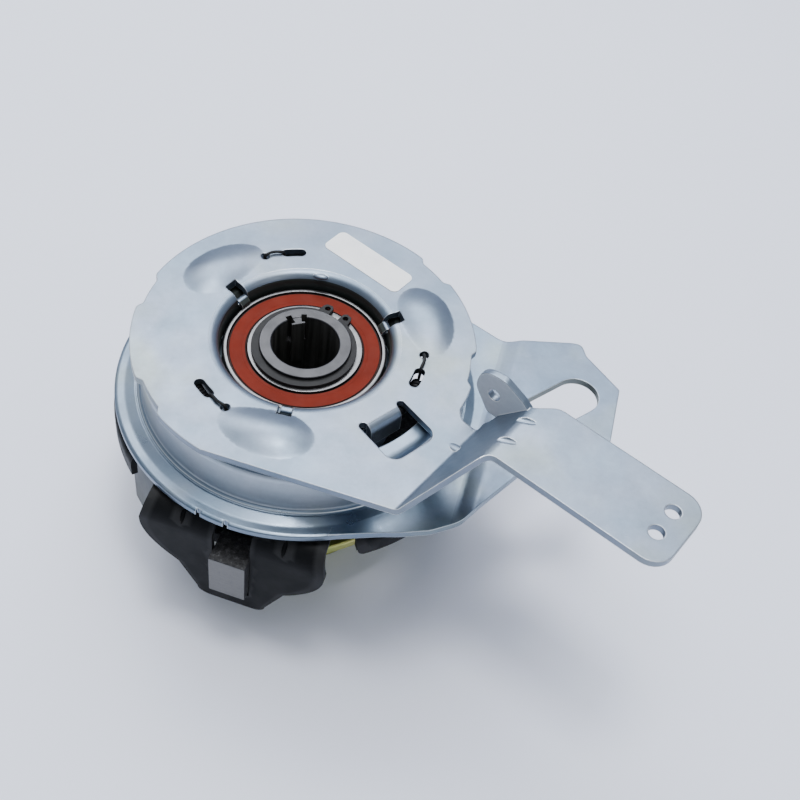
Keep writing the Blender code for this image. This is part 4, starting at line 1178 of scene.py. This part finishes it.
def round_parts():
    """Smooth rings and balls for the round pieces that show only from the side or in part."""
    rings = (
        ("lower_bearing_outer_ring", "torque_plate", "steel", BEARING_STEEL, 0.8),
        ("lower_bearing_inner_ring", "pressure_plate", "steel", BEARING_STEEL, 0.6),
        ("pulley_bearing_upper_outer_ring", "output", "steel", BEARING_STEEL, 0.4),
        ("pulley_bearing_upper_inner_ring", "hub", "steel", BEARING_STEEL, 0.4),
        ("pulley_bearing_lower_outer_ring", "output", "steel", BEARING_STEEL, 0.4),
        ("pulley_bearing_lower_inner_ring", "hub", "steel", BEARING_STEEL, 0.4),
        ("upper_lining", "friction_disc", "friction_lining", LINING, 0.2),
        ("lower_lining", "friction_disc", "friction_lining", LINING, 0.2),
        ("friction_disc", "friction_disc", "steel", STEEL, 0.2),
    )
    for node, body, slot, look, edge in rings:
        low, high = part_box(node)
        inner = min(v.co.xy.length for v in frame["nodes"][node].data.vertices) / MM
        piece = ring(node + "_turned", inner, high.x / MM, low.z / MM, high.z / MM, look, edge, 128)
        place(piece, body, slot, node)
    for i in (1, 2, 3):
        low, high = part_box(f"cam_ball_{i}")
        ball = ellipsoid(f"cam_ball_ground_{i}", tuple((low + high) / 2 / MM), (5.0, 5.0, 5.0), 0.0, 0.0, 48)
        ball.data.materials.append(BEARING_STEEL)
        place(ball, "cam_balls", "steel", f"cam_ball_{i}")


def paint_the_rest():
    """Every CAD node that stays in view gets a procedural material too."""
    slots = {"steel": BEARING_STEEL, "black_steel": BLACK_OXIDE, "zinc_plated_steel": ZINC}
    wanted = {s["node"]: s["material_slot"] for s in frame["record"]["subparts"]}
    for name, obj in frame["nodes"].items():
        look = slots.get(wanted.get(name), STEEL)
        obj.data.materials.clear()
        obj.data.materials.append(look)


# ---------------------------------------------------------------- stage

def build_stage():
    bm = bmesh.new()
    size, far, height = 2600.0, 1500.0, 1800.0
    profile = [(-size, -0.02)]
    profile += [(far + x, 500 - 0.02 + y) for x, y in arc(500.0, -90, 0, 16)]
    profile += [(far + 500.0, height)]
    rows = []
    for y, z in profile:
        rows.append([bm.verts.new((x, y, z)) for x in (-size, size)])
    for low, high in zip(rows, rows[1:]):
        bm.faces.new((low[0], low[1], high[1], high[0]))
    bmesh.ops.scale(bm, verts=bm.verts, vec=Vector((MM, MM, MM)))
    mesh = bpy.data.meshes.new("studio_floor")
    bm.to_mesh(mesh)
    bm.free()
    mesh.shade_smooth()
    floor = bpy.data.objects.new("studio_floor", mesh)
    mesh.materials.append(floor_look("studio_paper"))
    bpy.context.scene.collection.objects.link(floor)


def area_light(name, spot, target, size, power, colour):
    data = bpy.data.lights.new(name, "AREA")
    data.shape = "RECTANGLE"
    data.size, data.size_y = size
    data.energy = power
    data.color = colour
    lamp = bpy.data.objects.new(name, data)
    lamp.location = spot
    lamp.rotation_euler = (Vector(target) - Vector(spot)).to_track_quat("-Z", "Y").to_euler()
    bpy.context.scene.collection.objects.link(lamp)


def build_lights():
    world = bpy.data.worlds.new("studio")
    world.use_nodes = True
    tree = world.node_tree
    background = tree.nodes["Background"]
    background.inputs["Strength"].default_value = 0.82
    where = tree.nodes.new("ShaderNodeTexCoord")
    split = tree.nodes.new("ShaderNodeSeparateXYZ")
    ramp = tree.nodes.new("ShaderNodeValToRGB")
    shift = tree.nodes.new("ShaderNodeMapRange")
    shift.inputs["From Min"].default_value = -1.0
    tree.links.new(where.outputs["Generated"], split.inputs["Vector"])
    tree.links.new(split.outputs["Y"], shift.inputs["Value"])
    tree.links.new(shift.outputs["Result"], ramp.inputs["Fac"])
    tree.links.new(ramp.outputs["Color"], background.inputs["Color"])
    # The studio is darker in front of the object than behind it.
    stops = (
        (0.0, (0.46, 0.49, 0.55)), (0.5, (0.46, 0.50, 0.56)),
        (0.72, (0.72, 0.79, 0.91)), (1.0, (0.84, 0.9, 1.0)),
    )
    set_stops(ramp.color_ramp.elements, stops)
    bpy.context.scene.world = world
    centre = (0.02, 0.0, 0.06)
    area_light("softbox_back_left", (-0.8, 1.0, 1.2), centre, (1.2, 1.0), 7.0, COOL_LIGHT)
    area_light("softbox_back", (-0.1, 0.85, 1.25), centre, (1.3, 0.7), 16.0, COOL_LIGHT)
    area_light("softbox_top", (0.0, 0.02, 1.5), centre, (1.3, 1.1), 12.0, COOL_LIGHT)
    area_light("softbox_small", (0.03, 0.02, 1.45), centre, (0.34, 0.26), 9.0, (0.97, 0.985, 1.0))
    area_light("softbox_front_right", (0.9, -0.7, 0.9), centre, (0.7, 0.7), 1.5, (1.0, 0.99, 0.97))


def build_camera():
    data = bpy.data.cameras.new("photo_view")
    data.lens = 54.0
    data.sensor_width = 36.0
    data.clip_start = 0.01
    camera = bpy.data.objects.new("photo_view", data)
    right = Vector((0.9859, 0.1289, 0.1067))
    up = Vector((-0.1673, 0.7594, 0.6287))
    back = right.cross(up).normalized()
    up = back.cross(right).normalized()
    turn = Matrix((right.normalized(), up, back)).transposed().to_4x4()
    camera.matrix_world = Matrix.Translation((0.03862, -0.29902, 0.33391 + TOP * MM)) @ turn
    bpy.context.scene.collection.objects.link(camera)
    bpy.context.scene.camera = camera


build_camera()
paint_the_rest()
build_hub()
build_circlip("top_clip", "top_circlip", TOP - 5.8, TOP - 4.3, CLIP_GAP_ANGLE)
build_circlip("bottom_clip", "bottom_circlip", 1.1, 2.5, CLIP_GAP_ANGLE)
build_upper_bearing()
build_cam_plate()
build_label()
build_return_springs()
build_torque_plate()
build_basket()
build_pressure_plate()
build_legs()
build_pulley()
build_release_springs()
round_parts()
build_stage()
build_lights()
